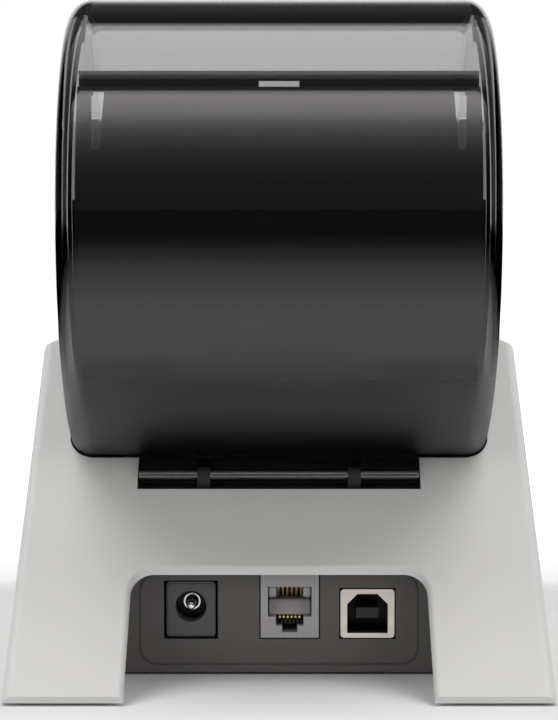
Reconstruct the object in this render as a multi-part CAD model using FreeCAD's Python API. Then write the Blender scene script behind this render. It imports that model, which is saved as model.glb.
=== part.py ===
import FreeCAD, Part
import math
import os

from FreeCAD import Vector

# Desktop thermal label printer: sloped casing, smoked roll hood, geared print mechanism and rear sockets.
# Frame in millimetres: +Z up, rear of the printer at +Y, origin on the floor under the middle of the casing.

# Allowances: cutting shapes run past a face, joined shapes sink into each other, edges are found to a hair
past = 1.0
sink = 0.5
hair = 0.01

# Casing
casing_width = 116.4
casing_depth = 178.0
foot_stand = 0.6
wall = 2.6
deck_angle = 37.4
rear_lip = 1.4
wing_top = 72.0
wing_width = 9.0
wing_corner_radius = 4.0
casing_edge_radius = 2.2
tower_top = 129.5
tower_rear_from_front = 53.0
front_lean_run = 28.0
front_cover_depth = 5.6
front_length = math.hypot(front_lean_run, tower_top - foot_stand)
bay_wall = 2.0
bay_wall_bottom = 40.0
bay_cut_reach = 10.0

# Cable recess and hinge notch in the rear deck
recess_half_width = 32.6
recess_depth = 30.0
recess_corner_radius = 5.0
recess_wall = 2.6
recess_undercut = 3.0
recess_rim_height = 1.8
recess_rim_depth = 3.0
recess_rim_radius = 1.2
deck_edge_from_rear = 58.2
notch_length = 8.4
notch_half_width = 32.7

# Hood, a drum at the rear with a flat roof and a sloped front window
hood_wall = 2.5
hood_side_gap = 0.45
drum_rear_from_rear = 19.5
drum_height = 103.9
drum_upper_radius = 49.8
drum_lower_radius = 61.0
drum_edge_from_rear = 59.2
roof_length = 28.7
hood_side_fillet = 5.5
hood_inner_fillet = 3.0
hood_tower_gap = 0.7
hood_lip_overlap = 4.0
hood_lip_gap = 0.5
hood_skirt = 6.0
hood_edge_inset = 3.8
hood_edge_land = 2.3
hood_edge_rise = 0.2

# Hinge
hinge_pin_diameter = 1.8
hinge_barrel_radius = 1.9
hinge_from_rear = 53.8
hinge_height = 42.9
hinge_web = 2.4
knuckle_width = 3.0
knuckle_offset = 17.4
hinge_end_gap = 0.3
bracket_thickness = 2.4
bracket_half_width = 36.0
bracket_length = 15.0
bracket_block_width = 2.6
bracket_block_thickness = 0.7
bracket_block_height = 2.6
knuckle_radius = 1.9
bracket_overhang = 2.2

# Liner inside the drum of the hood
liner_gap = 0.3
liner_thickness = 1.8
liner_edge_inset = 2.25
liner_top = 133.7
liner_bottom_from_rear = 61.5
liner_flange_depth = 5.5
liner_flange_height = 3.5
liner_notch_width = 9.0
liner_slot_inset = 4.3
liner_slot_length = 12.2
liner_slot_top_width = 3.0
liner_slot_end_width = 1.8
liner_slot_drop = 0.6
liner_notch_bridge = 1.6
liner_ledge = 1.5
liner_ledge_radius = 0.5

# Roll tub and label spool
spool_from_rear = 73.0
spool_height = 102.0
tub_radius = 44.0
tub_wall = 2.0
tub_side_gap = 0.75
tub_front_angle = 200.0
tub_rear_angle = 300.0
cheek_top = 106.0
tub_post = 6.0
tub_post_ahead = 36.0
tub_post_behind = 2.0
trunnion_diameter = 6.0
trunnion_length = 3.0
spool_clearance = 0.1
spool_end_gap = 0.4
core_diameter = 24.0
core_bore = 18.0
core_end_wall = 3.0
flange_diameter = 46.0
flange_thickness = 2.0
flange_bore_gap = 0.02

# Bottom plate, feet and fasteners
plate_thickness = 3.0
plate_gap = 0.3
foot_radius = 4.9
foot_recess = 0.8
foot_from_edge = 11.0
foot_gap = 0.1
screw_radius = 1.5
screw_head_radius = 2.7
screw_head_height = 1.6
screw_clearance = 0.15
screw_drive_depth = 0.8
boss_radius = 3.6
boss_height = 16.0
boss_cap = 2.0
boss_from_side = 6.7
boss_front_from_front = 29.0
boss_rear_from_rear = 49.0

# Main board, connector panel and sockets
board_top = 8.35
board_thickness = 1.6
board_half_width = 36.0
board_front_y = -20.0
board_screw_inset = 5.0
board_stand_radius = 3.0
board_screw_floor = 0.8
board_screw_tip = 1.2
panel_from_rear = 34.3
panel_thickness = 2.0
socket_gap = 0.3
groove_half_width = 31.4
groove_bottom = 2.2
groove_top = 23.0
groove_width = 0.5
groove_depth = 0.3
groove_corner_radius = 4.0
dc_x = 19.7
dc_width = 10.0
dc_height = 12.6
dc_hole_width = 11.5
dc_stand = 0.8
dc_rail_width = 1.6
dc_length = 14.0
dc_hole_radius = 3.5
dc_hole_z = 15.4
dc_hole_depth = 10.0
dc_pin_radius = 1.0
dc_pin_rounding = 0.7
dc_pin_setback = 1.0
dc_ring_radius = 1.9
dc_ring_wall = 0.35
dc_ring_setback = 7.5
modular_x = -2.4
modular_width = 13.0
modular_height = 15.0
modular_length = 16.0
modular_mouth_width = 9.8
modular_mouth_height = 6.8
modular_latch_width = 6.2
modular_latch_height = 2.0
modular_key_width = 3.4
modular_key_height = 1.5
modular_floor = 1.2
modular_back_wall = 3.0
contact_pitch = 1.27
contact_count = 6
contact_width = 0.5
contact_thickness = 0.5
contact_low = 1.0
contact_back_height = 0.6
contact_setback = 2.0
contact_bend = 1.0
data_x = -19.8
data_width = 12.04
data_height = 10.9
data_length = 16.5
data_shell = 0.5
data_tongue_width = 5.0
data_tongue_height = 2.3
data_chamfer = 2.3
data_mouth_width = 9.1
data_mouth_height = 8.8
data_mouth_depth = 10.0
data_corner_radius = 0.8
data_insert_setback = 0.6
data_tongue_setback = 1.2
chip_size = 14.0
chip_height = 1.6
chip_gap = 4.0
small_chip_width = 10.0
small_chip_length = 8.0
capacitor_radius = 4.0
capacitor_height = 12.0
capacitor_x = 22.0
capacitor_first = -8.0
capacitor_pitch = 11.0

# Print mechanism in the tower
side_plate_inner = 34.0
side_plate_thickness = 1.5
side_plate_bottom = tower_top - 79.5
side_plate_top = tower_top - 7.5
mech_flange_width = 10.0
mech_flange_bottom = tower_top - 67.5
mech_flange_top = tower_top - 49.5
mech_front_gap = 1.4
path_from_tower_rear = 13.0
platen_diameter = 12.0
platen_length = 60.0
platen_height = tower_top - 17.5
platen_shaft_diameter = 5.0
bush_radius = 4.0
bush_flange_radius = 5.2
bush_flange = 1.0
running_clearance = 0.05
fit_gap = 0.3
gear_module = 0.7
platen_teeth = 16
idler_teeth = 24
pinion_teeth = 12
gear_width = 4.0
gear_backlash = 0.16
gear_side_gap = 0.8
pressure_angle = 20.0
tooth_height = 0.9
tooth_depth = 1.2
flank_steps = 5
upper_idler_lean = 15.0
lower_idler_lean = -13.4
pinion_lean = 2.7
idler_stud_diameter = 4.0
stud_cap = 1.0
shaft_end = 0.5
motor_radius = 12.5
motor_length = 20.0
motor_shaft_diameter = 2.0
motor_shaft_seat = 5.0
motor_ear_radius = 3.0
motor_ear_circle = 16.0
motor_ear_thickness = 1.2
motor_ear_angles = (240, 300)
head_thickness = 2.4
head_half_width = 28.0
head_bottom = tower_top - 23.5
head_top = tower_top - 11.5
carrier_thickness = 3.0
carrier_half_width = 31.0
carrier_bottom = tower_top - 34.5
carrier_top = tower_top - 8.5
carrier_pin_diameter = 3.0
carrier_pin_height = tower_top - 31.5
carrier_boss_radius = 3.0
carrier_side_gap = 0.5
spring_x = 20.0
spring_height = tower_top - 15.5
spring_width = 6.0
spring_thickness = 0.4
spring_crest = 3.0
spring_slant = 5.5
spring_foot = 3.0
spring_gap = 0.1
exit_slot_width = 5.0
exit_slot_half_length = 31.0
feed_slot_bottom = tower_top - 43.5
feed_slot_height = 5.0
tear_bar_thickness = 0.8
tear_bar_bottom = tower_top - 8.5
tear_bar_proud = 1.2
tear_tooth_pitch = 1.6
tear_bar_end_gap = 0.2

# Buttons and status light on the front cover
button_from_side = 12.2
feed_button_slope = front_length - 27.9
power_button_slope = front_length - 43.9
lens_slope = front_length - 35.9
button_width = 9.0
button_height = 6.5
button_proud = 1.0
button_travel = 0.8
button_gap = 0.25
button_flange = 1.0
button_stem_radius = 1.5
button_corner_radius = 1.6
button_rim_radius = 0.5
lens_radius = 1.5
lens_proud = 0.3
switch_size = 5.0
switch_height = 1.9
button_board_thickness = 1.2
button_board_half_width = 7.0
button_board_margin = 7.0
button_board_edge = 2.5
button_post_radius = 1.8

# Places worked out from the driving sizes
half_width = casing_width / 2
rear_y = casing_depth / 2
front_y = -casing_depth / 2
deck_slope = math.tan(math.radians(deck_angle))
tower_rear = front_y + tower_rear_from_front
tower_inner = tower_rear - wall
front_lean = front_lean_run / (tower_top - foot_stand)
lean_angle = math.degrees(math.atan(front_lean))
opening_half = half_width - wing_width
hood_half = opening_half - hood_side_gap
deck_edge = rear_y - deck_edge_from_rear
plate_top = foot_stand + plate_thickness
panel_y = rear_y - panel_from_rear
leg_wall_inner = recess_half_width + recess_undercut
leg_wall_outer = leg_wall_inner + recess_wall
board_bottom = board_top - board_thickness
board_rear = panel_y - panel_thickness - socket_gap
hinge_y = rear_y - hinge_from_rear
spool_y = rear_y - spool_from_rear
path_y = tower_rear - path_from_tower_rear
platen_y = path_y - platen_diameter / 2
platen_at = Vector(0, platen_y, platen_height)
platen_pitch_radius = gear_module * platen_teeth / 2
idler_pitch_radius = gear_module * idler_teeth / 2
pinion_pitch_radius = gear_module * pinion_teeth / 2
plate_outer = side_plate_inner + side_plate_thickness
gear_start = plate_outer + bush_flange + gear_side_gap
gear_end = gear_start + gear_width
head_face = path_y + fit_gap
head_back = head_face + head_thickness
carrier_back = head_back + carrier_thickness
carrier_pin_y = head_back + carrier_thickness / 2


def leaning_down(degrees):
    """Unit step down that leans to the rear by an angle."""
    turn = math.radians(degrees)
    return Vector(0, math.sin(turn), -math.cos(turn))


upper_way = leaning_down(upper_idler_lean)
lower_way = leaning_down(lower_idler_lean)
pinion_way = leaning_down(pinion_lean)
upper_idler_at = platen_at + upper_way * (platen_pitch_radius + idler_pitch_radius)
lower_idler_at = upper_idler_at + lower_way * (2 * idler_pitch_radius)
motor_at = lower_idler_at + pinion_way * (idler_pitch_radius + pinion_pitch_radius)


def deck_y(height):
    """Y of the deck's outer face at a height."""
    return rear_y - (height - foot_stand - rear_lip) / deck_slope


def deck_z(y):
    """Height of the deck's outer face at a place along the depth."""
    return foot_stand + rear_lip + (rear_y - y) * deck_slope


def front_face_y(height):
    """Y of the leaning front face at a height."""
    return front_y + (height - foot_stand) * front_lean


def box(x0, x1, y0, y1, z0, z1):
    return Part.makeBox(x1 - x0, y1 - y0, z1 - z0, Vector(x0, y0, z0))


def mirrored_boxes(x0, x1, y0, y1, z0, z1):
    return [box(x0, x1, y0, y1, z0, z1), box(-x1, -x0, y0, y1, z0, z1)]


def rod(x0, x1, y, z, radius):
    """Round bar along X."""
    return Part.makeCylinder(radius, x1 - x0, Vector(x0, y, z), Vector(1, 0, 0))


def post(x, y, z0, z1, radius):
    """Round bar along Z."""
    return Part.makeCylinder(radius, z1 - z0, Vector(x, y, z0), Vector(0, 0, 1))


def side_prism(points, x0, x1):
    """Solid from an outline of (y, z) points, from x0 to x1."""
    corners = [Vector(x0, y, z) for y, z in points]
    face = Part.Face(Part.makePolygon(corners + corners[:1]))
    return face.extrude(Vector(x1 - x0, 0, 0))


def side_prism_from_edges(edges, x0, x1):
    """Solid from closed edges drawn in the plane X = 0."""
    face = Part.Face(Part.Wire(Part.__sortEdges__(edges)))
    face.translate(Vector(x0, 0, 0))
    return face.extrude(Vector(x1 - x0, 0, 0))


def line(y0, z0, y1, z1):
    return Part.LineSegment(Vector(0, y0, z0), Vector(0, y1, z1)).toShape()


def arc(centre_y, centre_z, radius, start_degrees, end_degrees):
    """Arc in the plane X = 0, with angles from +Y towards +Z."""
    spots = []
    for degrees in (start_degrees, (start_degrees + end_degrees) / 2, end_degrees):
        turn = math.radians(degrees)
        spots.append(Vector(0, centre_y + radius * math.cos(turn), centre_z + radius * math.sin(turn)))
    return Part.Arc(*spots).toShape()


def rounded_box_z(x0, x1, y0, y1, z0, z1, radius):
    """Box with its upright edges rounded."""
    block = box(x0, x1, y0, y1, z0, z1)
    upright = [edge for edge in block.Edges if abs(edge.tangentAt(edge.FirstParameter).z) > 0.9]
    return block.makeFillet(radius, upright)


def rounded_box_y(x0, x1, y0, y1, z0, z1, radius):
    """Box with its edges along Y rounded."""
    block = box(x0, x1, y0, y1, z0, z1)
    lengthwise = [edge for edge in block.Edges if abs(edge.tangentAt(edge.FirstParameter).y) > 0.9]
    return block.makeFillet(radius, lengthwise)


def joined(shapes):
    return shapes[0].fuse(shapes[1:]).removeSplitter()


def on_front(shape, x, slope):
    """Takes a shape drawn with Z outwards and Y up the slope to a place on the front face."""
    placed = shape.copy()
    placed.rotate(Vector(0, 0, 0), Vector(1, 0, 0), 90 - lean_angle)
    placed.translate(Vector(x, front_face_y(slope), slope))
    return placed


def save(name, shapes):
    """Writes one node. Several shapes stay separate solids."""
    solids = []
    for shape in shapes if isinstance(shapes, list) else [shapes]:
        solids += shape.Solids
    result = solids[0] if len(solids) == 1 else Part.makeCompound(solids)
    result.exportStep("parts/" + name + ".step")
    print(name, len(solids), round(result.Volume, 1), all(solid.isValid() for solid in solids))


def boss_places():
    x = half_width - boss_from_side
    ys = (front_y + boss_front_from_front, rear_y - boss_rear_from_rear)
    return [(side * x, y) for side in (-1, 1) for y in ys]


def make_casing():
    part_top_y = front_face_y(tower_top) + front_cover_depth
    part_bottom_y = front_face_y(foot_stand) + front_cover_depth
    outline = [
        (rear_y, foot_stand),
        (rear_y, foot_stand + rear_lip),
        (deck_y(wing_top), wing_top),
        (tower_rear, wing_top),
        (tower_rear, tower_top),
        (part_top_y, tower_top),
        (part_bottom_y, foot_stand),
    ]
    outer = side_prism(outline, -half_width, half_width)
    crests = []
    for edge in outer.Edges:
        middle = edge.CenterOfMass
        if abs(middle.x) < hair and abs(middle.z - wing_top) < hair and middle.y > tower_rear + past:
            crests.append(edge)
    outer = outer.makeFillet(wing_corner_radius, crests)
    rims = []
    for edge in outer.Edges:
        middle = edge.CenterOfMass
        on_side = abs(abs(middle.x) - half_width) < hair
        on_parting = abs(middle.y - front_face_y(middle.z) - front_cover_depth) < sink
        if on_side and not on_parting and middle.z > foot_stand + rear_lip:
            rims.append(edge)
    outer = outer.makeFillet(casing_edge_radius, rims)
    deck_inner = wall / math.sin(math.radians(deck_angle))
    low = foot_stand - 2 * past
    roof = tower_top - wall
    shelf = wing_top - wall
    cavity = side_prism(
        [
            (deck_y(low) - deck_inner, low),
            (deck_y(shelf) - deck_inner, shelf),
            (tower_inner, shelf),
            (tower_inner, roof),
            (front_face_y(roof), roof),
            (front_face_y(low), low),
        ],
        -half_width + wall,
        half_width - wall,
    )
    shell = outer.cut(cavity)
    reach = half_width - wall + sink
    tower_wall = box(-reach, reach, tower_inner, tower_rear, bay_wall_bottom, shelf + past)
    bay_outline = [
        (tower_rear - past, bay_wall_bottom),
        (deck_y(bay_wall_bottom) - deck_inner, bay_wall_bottom),
        (deck_y(shelf) - deck_inner + sink, shelf + sink),
        (tower_rear - past, shelf + sink),
    ]
    bay_walls = [
        side_prism(bay_outline, opening_half, opening_half + bay_wall),
        side_prism(bay_outline, -opening_half - bay_wall, -opening_half),
    ]
    leg_outline = [
        (panel_y, foot_stand),
        (rear_y - wall, foot_stand),
        (deck_y(foot_stand + wall), foot_stand + wall),
        (panel_y, deck_z(panel_y)),
    ]
    leg_walls = [
        side_prism(leg_outline, leg_wall_inner, leg_wall_outer),
        side_prism(leg_outline, -leg_wall_outer, -leg_wall_inner),
    ]
    bosses = []
    for x, y in boss_places():
        top = plate_top + boss_height
        bosses.append(post(x, y, plate_top, top, boss_radius))
        side = 1 if x > 0 else -1
        edges = sorted((x, side * (half_width - wall / 2)))
        bosses.append(box(edges[0], edges[1], y - wall / 2, y + wall / 2, plate_top, top))
    shell = shell.fuse([tower_wall] + bay_walls + leg_walls + bosses).removeSplitter()
    cut_low = bay_wall_bottom - bay_cut_reach
    bay_cut = box(-opening_half, opening_half, tower_rear, deck_edge, cut_low, wing_top + bay_cut_reach)
    corners = []
    for edge in bay_cut.Edges:
        if abs(edge.tangentAt(edge.FirstParameter).z) > 0.9 and edge.CenterOfMass.y > deck_edge - past:
            corners.append(edge)
    bay_cut = bay_cut.makeFillet(hood_side_fillet + hood_side_gap, corners)
    notch_end = deck_edge + notch_length
    notch = box(-notch_half_width, notch_half_width, deck_edge - past, notch_end, cut_low, wing_top)
    recess = rounded_box_z(
        -recess_half_width,
        recess_half_width,
        rear_y - recess_depth,
        rear_y + recess_depth,
        -past,
        bay_wall_bottom,
        recess_corner_radius,
    )
    rim_front = rear_y - recess_depth - recess_rim_depth
    rim_outline = [
        (rim_front, deck_z(rim_front) - recess_rim_height),
        (rear_y, deck_z(rear_y) - recess_rim_height),
        (rear_y, -past),
        (rim_front, -past),
    ]
    thinning = side_prism(rim_outline, -leg_wall_inner, leg_wall_inner)
    blade_front = path_y - exit_slot_width / 2 - tear_bar_thickness
    exit_slot = box(
        -exit_slot_half_length,
        exit_slot_half_length,
        blade_front,
        path_y + exit_slot_width / 2,
        roof - past,
        tower_top + past,
    )
    feed_slot = box(
        -exit_slot_half_length,
        exit_slot_half_length,
        tower_inner - past,
        tower_rear + past,
        feed_slot_bottom,
        feed_slot_bottom + feed_slot_height,
    )
    holes = []
    for x, y in boss_places():
        top = plate_top + boss_height - boss_cap
        holes.append(post(x, y, plate_top - past, top, screw_radius + screw_clearance))
    for x, z in mech_screw_places():
        start = Vector(x, tower_inner - past, z)
        hole_radius = screw_radius + screw_clearance
        holes.append(Part.makeCylinder(hole_radius, wall + 2 * past, start, Vector(0, 1, 0)))
    shell = shell.cut([bay_cut, notch, recess, thinning, exit_slot, feed_slot] + holes)
    rim = []
    for edge in shell.Edges:
        middle = edge.valueAt((edge.FirstParameter + edge.LastParameter) / 2)
        on_deck = abs(middle.z - deck_z(middle.y)) < hair
        in_recess = abs(middle.x) < recess_half_width + hair and middle.y > rear_y - recess_depth - hair
        if on_deck and in_recess and middle.y < rear_y - past:
            rim.append(edge)
    return shell.makeFillet(recess_rim_radius, rim)


def mech_screw_places():
    x = side_plate_inner - mech_flange_width / 2
    middle = (mech_flange_bottom + mech_flange_top) / 2
    offset = (mech_flange_top - mech_flange_bottom) / 4
    return [(side * x, middle + step * offset) for side in (-1, 1) for step in (-1, 1)]


def button_post_places():
    x = half_width - button_from_side
    low = power_button_slope - button_board_margin
    high = feed_button_slope + button_board_margin
    return [(-x, low), (-x, high)]


def make_front_cover():
    top_y = front_face_y(tower_top)
    base_y = front_face_y(foot_stand)
    outer = side_prism(
        [
            (base_y, foot_stand),
            (base_y + front_cover_depth, foot_stand),
            (top_y + front_cover_depth, tower_top),
            (top_y, tower_top),
        ],
        -half_width,
        half_width,
    )
    rims = []
    for edge in outer.Edges:
        middle = edge.CenterOfMass
        if abs(middle.y - front_face_y(middle.z)) < hair and middle.z > foot_stand + past:
            rims.append(edge)
    outer = outer.makeFillet(casing_edge_radius, rims)
    skin = wall / math.cos(math.radians(lean_angle))
    low = foot_stand + wall
    high = tower_top - wall
    cavity = side_prism(
        [
            (front_face_y(low) + skin, low),
            (front_face_y(low) + 2 * front_cover_depth, low),
            (front_face_y(high) + 2 * front_cover_depth, high),
            (front_face_y(high) + skin, high),
        ],
        -half_width + wall,
        half_width - wall,
    )
    shell = outer.cut(cavity)
    x = -(half_width - button_from_side)
    board_front = wall + button_stack()
    posts = []
    for post_x, slope in button_post_places():
        peg = Part.makeCylinder(button_post_radius, board_front - wall + sink, Vector(0, 0, -board_front))
        posts.append(on_front(peg, post_x, slope))
    shell = shell.fuse(posts)
    cuts = []
    for slope in (feed_button_slope, power_button_slope):
        cuts.append(on_front(button_prism(button_gap, -wall - past, front_cover_depth), x, slope))
    lens_hole = post(0, 0, -wall - past, front_cover_depth, lens_radius + socket_gap)
    cuts.append(on_front(lens_hole, x, lens_slope))
    return shell.cut(cuts)


def button_prism(grow, low, high):
    """Rounded button outline grown all round, from low to high along the button's axis."""
    half_x = button_width / 2 + grow
    half_y = button_height / 2 + grow
    return rounded_box_z(-half_x, half_x, -half_y, half_y, low, high, button_corner_radius)


def button_stack():
    """Depth from the cover's inner face to the front of the button board."""
    return socket_gap / 2 + button_flange + 2 * button_travel + fit_gap + switch_height


def make_button(slope):
    inner = -wall - socket_gap / 2
    cap = button_prism(0, inner, button_proud)
    rim = [edge for edge in cap.Edges if abs(edge.CenterOfMass.z - button_proud) < hair]
    cap = cap.makeFillet(button_rim_radius, rim)
    flange = button_prism(button_flange, inner - button_flange, inner)
    stem = post(0, 0, inner - button_flange - button_travel, inner, button_stem_radius)
    return on_front(joined([cap, flange, stem]), -(half_width - button_from_side), slope)


def make_button_board():
    x = -(half_width - button_from_side)
    front = -wall - button_stack()
    middle = (feed_button_slope + power_button_slope) / 2
    stretch = 1 / math.cos(math.radians(lean_angle))
    half_span = (feed_button_slope - power_button_slope) / 2 + button_board_margin
    half_y = half_span * stretch + button_board_edge
    board = box(
        -button_board_half_width,
        button_board_half_width,
        -half_y,
        half_y,
        front - button_board_thickness,
        front,
    )
    shapes = [on_front(board, x, middle)]
    for slope in (feed_button_slope, power_button_slope):
        half = switch_size / 2
        shapes.append(on_front(box(-half, half, -half, half, front, front + switch_height), x, slope))
    return joined(shapes)


def make_lens():
    front = -wall - button_stack()
    lens = post(0, 0, front + socket_gap, lens_proud, lens_radius)
    return on_front(lens, -(half_width - button_from_side), lens_slope)


def make_bottom_plate():
    side = half_width - wall - plate_gap
    deck_inner = wall / math.sin(math.radians(deck_angle))
    rear = deck_y(plate_top) - deck_inner - plate_gap
    front = front_face_y(plate_top) + front_cover_depth + plate_gap
    plate = box(-side, side, front, rear, foot_stand, plate_top)
    slot_half = leg_wall_outer + plate_gap
    slot = box(-slot_half, slot_half, board_rear, rear + past, foot_stand - past, plate_top + past)
    stands = []
    for x, y in board_screw_places():
        stands.append(post(x, y, plate_top, board_bottom, board_stand_radius))
    cuts = [slot]
    for x, y in boss_places():
        cuts.append(post(x, y, foot_stand - past, plate_top + past, screw_radius + screw_clearance))
        sink_top = foot_stand + screw_head_height + screw_clearance
        cuts.append(post(x, y, foot_stand - past, sink_top, screw_head_radius + screw_clearance))
    for x, y in foot_places():
        cuts.append(post(x, y, foot_stand - past, foot_stand + foot_recess, foot_radius + foot_gap))
    for x, y in board_screw_places():
        floor = foot_stand + board_screw_floor
        cuts.append(post(x, y, floor, board_bottom + past, screw_radius + screw_clearance))
    return plate.fuse(stands).removeSplitter().cut(cuts)


def foot_places():
    x = half_width - wall - foot_from_edge
    front = front_y + wall + foot_from_edge
    rear = rear_y - 2 * wall - foot_from_edge
    return [(side * x, y) for side in (-1, 1) for y in (front, rear)]


def board_screw_places():
    x = board_half_width - board_screw_inset
    ys = (board_front_y + board_screw_inset, board_rear - 4 * board_screw_inset)
    return [(side * x, y) for side in (-1, 1) for y in ys]


def screw_up(x, y, seat, tip):
    """Screw with its head under a seat and its shank rising to the tip."""
    low = seat - screw_head_height
    head = post(x, y, low, seat, screw_head_radius)
    drive = post(x, y, low - past, low + screw_drive_depth, screw_head_radius / 3)
    return joined([head, post(x, y, seat - sink, tip, screw_radius)]).cut(drive)


def screw_down(x, y, seat, tip):
    """Screw with its head on a seat and its shank going down to the tip."""
    high = seat + screw_head_height
    head = post(x, y, seat, high, screw_head_radius)
    drive = post(x, y, high - screw_drive_depth, high + past, screw_head_radius / 3)
    return joined([head, post(x, y, tip, seat + sink, screw_radius)]).cut(drive)


def make_main_board():
    board = box(-board_half_width, board_half_width, board_front_y, board_rear, board_bottom, board_top)
    holes = []
    for x, y in board_screw_places():
        holes.append(post(x, y, board_bottom - past, board_top + past, screw_radius + screw_clearance))
    return board.cut(holes)


def make_chips():
    middle = (board_front_y + board_rear) / 2
    half = chip_size / 2
    top = board_top + chip_height
    small_right = -half - chip_gap
    small_left = small_right - small_chip_width
    small_front = middle - half
    return [
        box(-half, half, middle - half, middle + half, board_top, top),
        box(small_left, small_right, small_front, small_front + small_chip_length, board_top, top),
    ]


def make_capacitors():
    middle = (board_front_y + board_rear) / 2
    first = middle + capacitor_first
    top = board_top + capacitor_height
    return [post(capacitor_x, y, board_top, top, capacitor_radius) for y in (first, first + capacitor_pitch)]


def make_panel():
    deck_inner = wall / math.cos(math.radians(deck_angle))
    top = deck_z(panel_y) - deck_inner - socket_gap
    back = panel_y - panel_thickness
    panel = box(-leg_wall_outer, leg_wall_outer, back, panel_y, foot_stand, top)
    cuts = []
    for x, width, height in (
        (dc_x, dc_hole_width, dc_height),
        (modular_x, modular_width, modular_height),
        (data_x, data_width, data_height),
    ):
        half = width / 2 + socket_gap
        high = min(board_top + height + socket_gap, top + past)
        cuts.append(box(x - half, x + half, back - past, panel_y + past, board_top - socket_gap, high))
    floor = panel_y - groove_depth
    half = groove_half_width
    ring = rounded_box_y(-half, half, floor, panel_y + past, groove_bottom, groove_top, groove_corner_radius)
    inside = half - groove_width
    low = groove_bottom + groove_width
    high = groove_top - groove_width
    inner_radius = groove_corner_radius - groove_width
    ring = ring.cut(rounded_box_y(-inside, inside, floor - past, panel_y + 2 * past, low, high, inner_radius))
    return panel.cut(cuts + [ring])


def make_dc_jack():
    half = dc_width / 2
    low = board_top + dc_stand
    back = panel_y - dc_length
    shapes = [box(dc_x - half, dc_x + half, back, panel_y, low, board_top + dc_height)]
    rail_end = panel_y - 2 * panel_thickness
    for left in (dc_x - half, dc_x + half - dc_rail_width):
        shapes.append(box(left, left + dc_rail_width, back, rail_end, board_top, low + sink))
    start = Vector(dc_x, panel_y - dc_hole_depth, dc_hole_z)
    hole = Part.makeCylinder(dc_hole_radius, dc_hole_depth + past, start, Vector(0, 1, 0))
    return joined(shapes).cut(hole)


def make_dc_contacts():
    start = Vector(dc_x, panel_y - dc_hole_depth, dc_hole_z)
    out = Vector(0, 1, 0)
    pin = Part.makeCylinder(dc_pin_radius, dc_hole_depth - dc_pin_setback, start, out)
    tip = [edge for edge in pin.Edges if edge.CenterOfMass.y > panel_y - 2 * dc_pin_setback]
    pin = pin.makeFillet(dc_pin_radius * dc_pin_rounding, tip)
    ring = Part.makeCylinder(dc_ring_radius, dc_hole_depth - dc_ring_setback, start, out)
    ring = ring.cut(Part.makeCylinder(dc_ring_radius - dc_ring_wall, dc_hole_depth, start, out))
    return [pin, ring]


def modular_mouth_base():
    return board_top + modular_latch_height + modular_key_height + modular_floor


def make_modular_jack():
    half = modular_width / 2
    back = panel_y - modular_length
    body = box(modular_x - half, modular_x + half, back, panel_y, board_top, board_top + modular_height)
    base = modular_mouth_base()
    deep = panel_y - modular_length + modular_back_wall
    cuts = []
    steps = (
        (modular_mouth_width, base, base + modular_mouth_height),
        (modular_latch_width, base - modular_latch_height, base + sink),
        (modular_key_width, base - modular_latch_height - modular_key_height, base),
    )
    for width, low, high in steps:
        cuts.append(box(modular_x - width / 2, modular_x + width / 2, deep, panel_y + past, low, high))
    return body.cut(cuts)


def make_modular_contacts():
    base = modular_mouth_base()
    top = base + modular_mouth_height
    deep = panel_y - modular_length + modular_back_wall
    tip = panel_y - contact_setback
    first = modular_x - contact_pitch * (contact_count - 1) / 2
    wires = []
    for index in range(contact_count):
        x = first + contact_pitch * index
        outline = [
            (deep, base + contact_low),
            (deep + contact_thickness, base + contact_low),
            (tip, top - contact_thickness),
            (tip, top),
            (tip - contact_bend, top),
            (deep, base + contact_low + contact_back_height),
        ]
        wires.append(side_prism(outline, x - contact_width / 2, x + contact_width / 2))
    return wires


def make_data_shell():
    half = data_width / 2
    top = board_top + data_height
    back = panel_y - data_length
    block = rounded_box_y(data_x - half, data_x + half, back, panel_y, board_top, top, data_corner_radius)
    inner = box(
        data_x - half + data_shell,
        data_x + half - data_shell,
        panel_y - data_length - past,
        panel_y - data_insert_setback,
        board_top + data_shell,
        top - data_shell,
    )
    return block.cut([inner, data_mouth()])


def data_mouth():
    """Plug opening with two bevelled upper corners."""
    middle = board_top + data_height / 2
    half = data_mouth_width / 2
    low = middle - data_mouth_height / 2
    high = middle + data_mouth_height / 2
    outline = [
        (data_x - half, low),
        (data_x + half, low),
        (data_x + half, high - data_chamfer),
        (data_x + half - data_chamfer, high),
        (data_x - half + data_chamfer, high),
        (data_x - half, high - data_chamfer),
    ]
    corners = [Vector(x, panel_y - data_mouth_depth, z) for x, z in outline]
    return Part.Face(Part.makePolygon(corners + corners[:1])).extrude(Vector(0, 2 * data_mouth_depth, 0))


def make_data_insert():
    half = data_width / 2 - data_shell
    low = board_top + data_shell
    high = board_top + data_height - data_shell
    front = panel_y - data_insert_setback
    block = box(data_x - half, data_x + half, panel_y - data_length, front, low, high)
    middle = board_top + data_height / 2
    tongue = box(
        data_x - data_tongue_width / 2,
        data_x + data_tongue_width / 2,
        panel_y - data_mouth_depth - past,
        panel_y - data_tongue_setback,
        middle - data_tongue_height / 2,
        middle + data_tongue_height / 2,
    )
    return block.cut(data_mouth()).fuse(tongue).removeSplitter()


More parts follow.
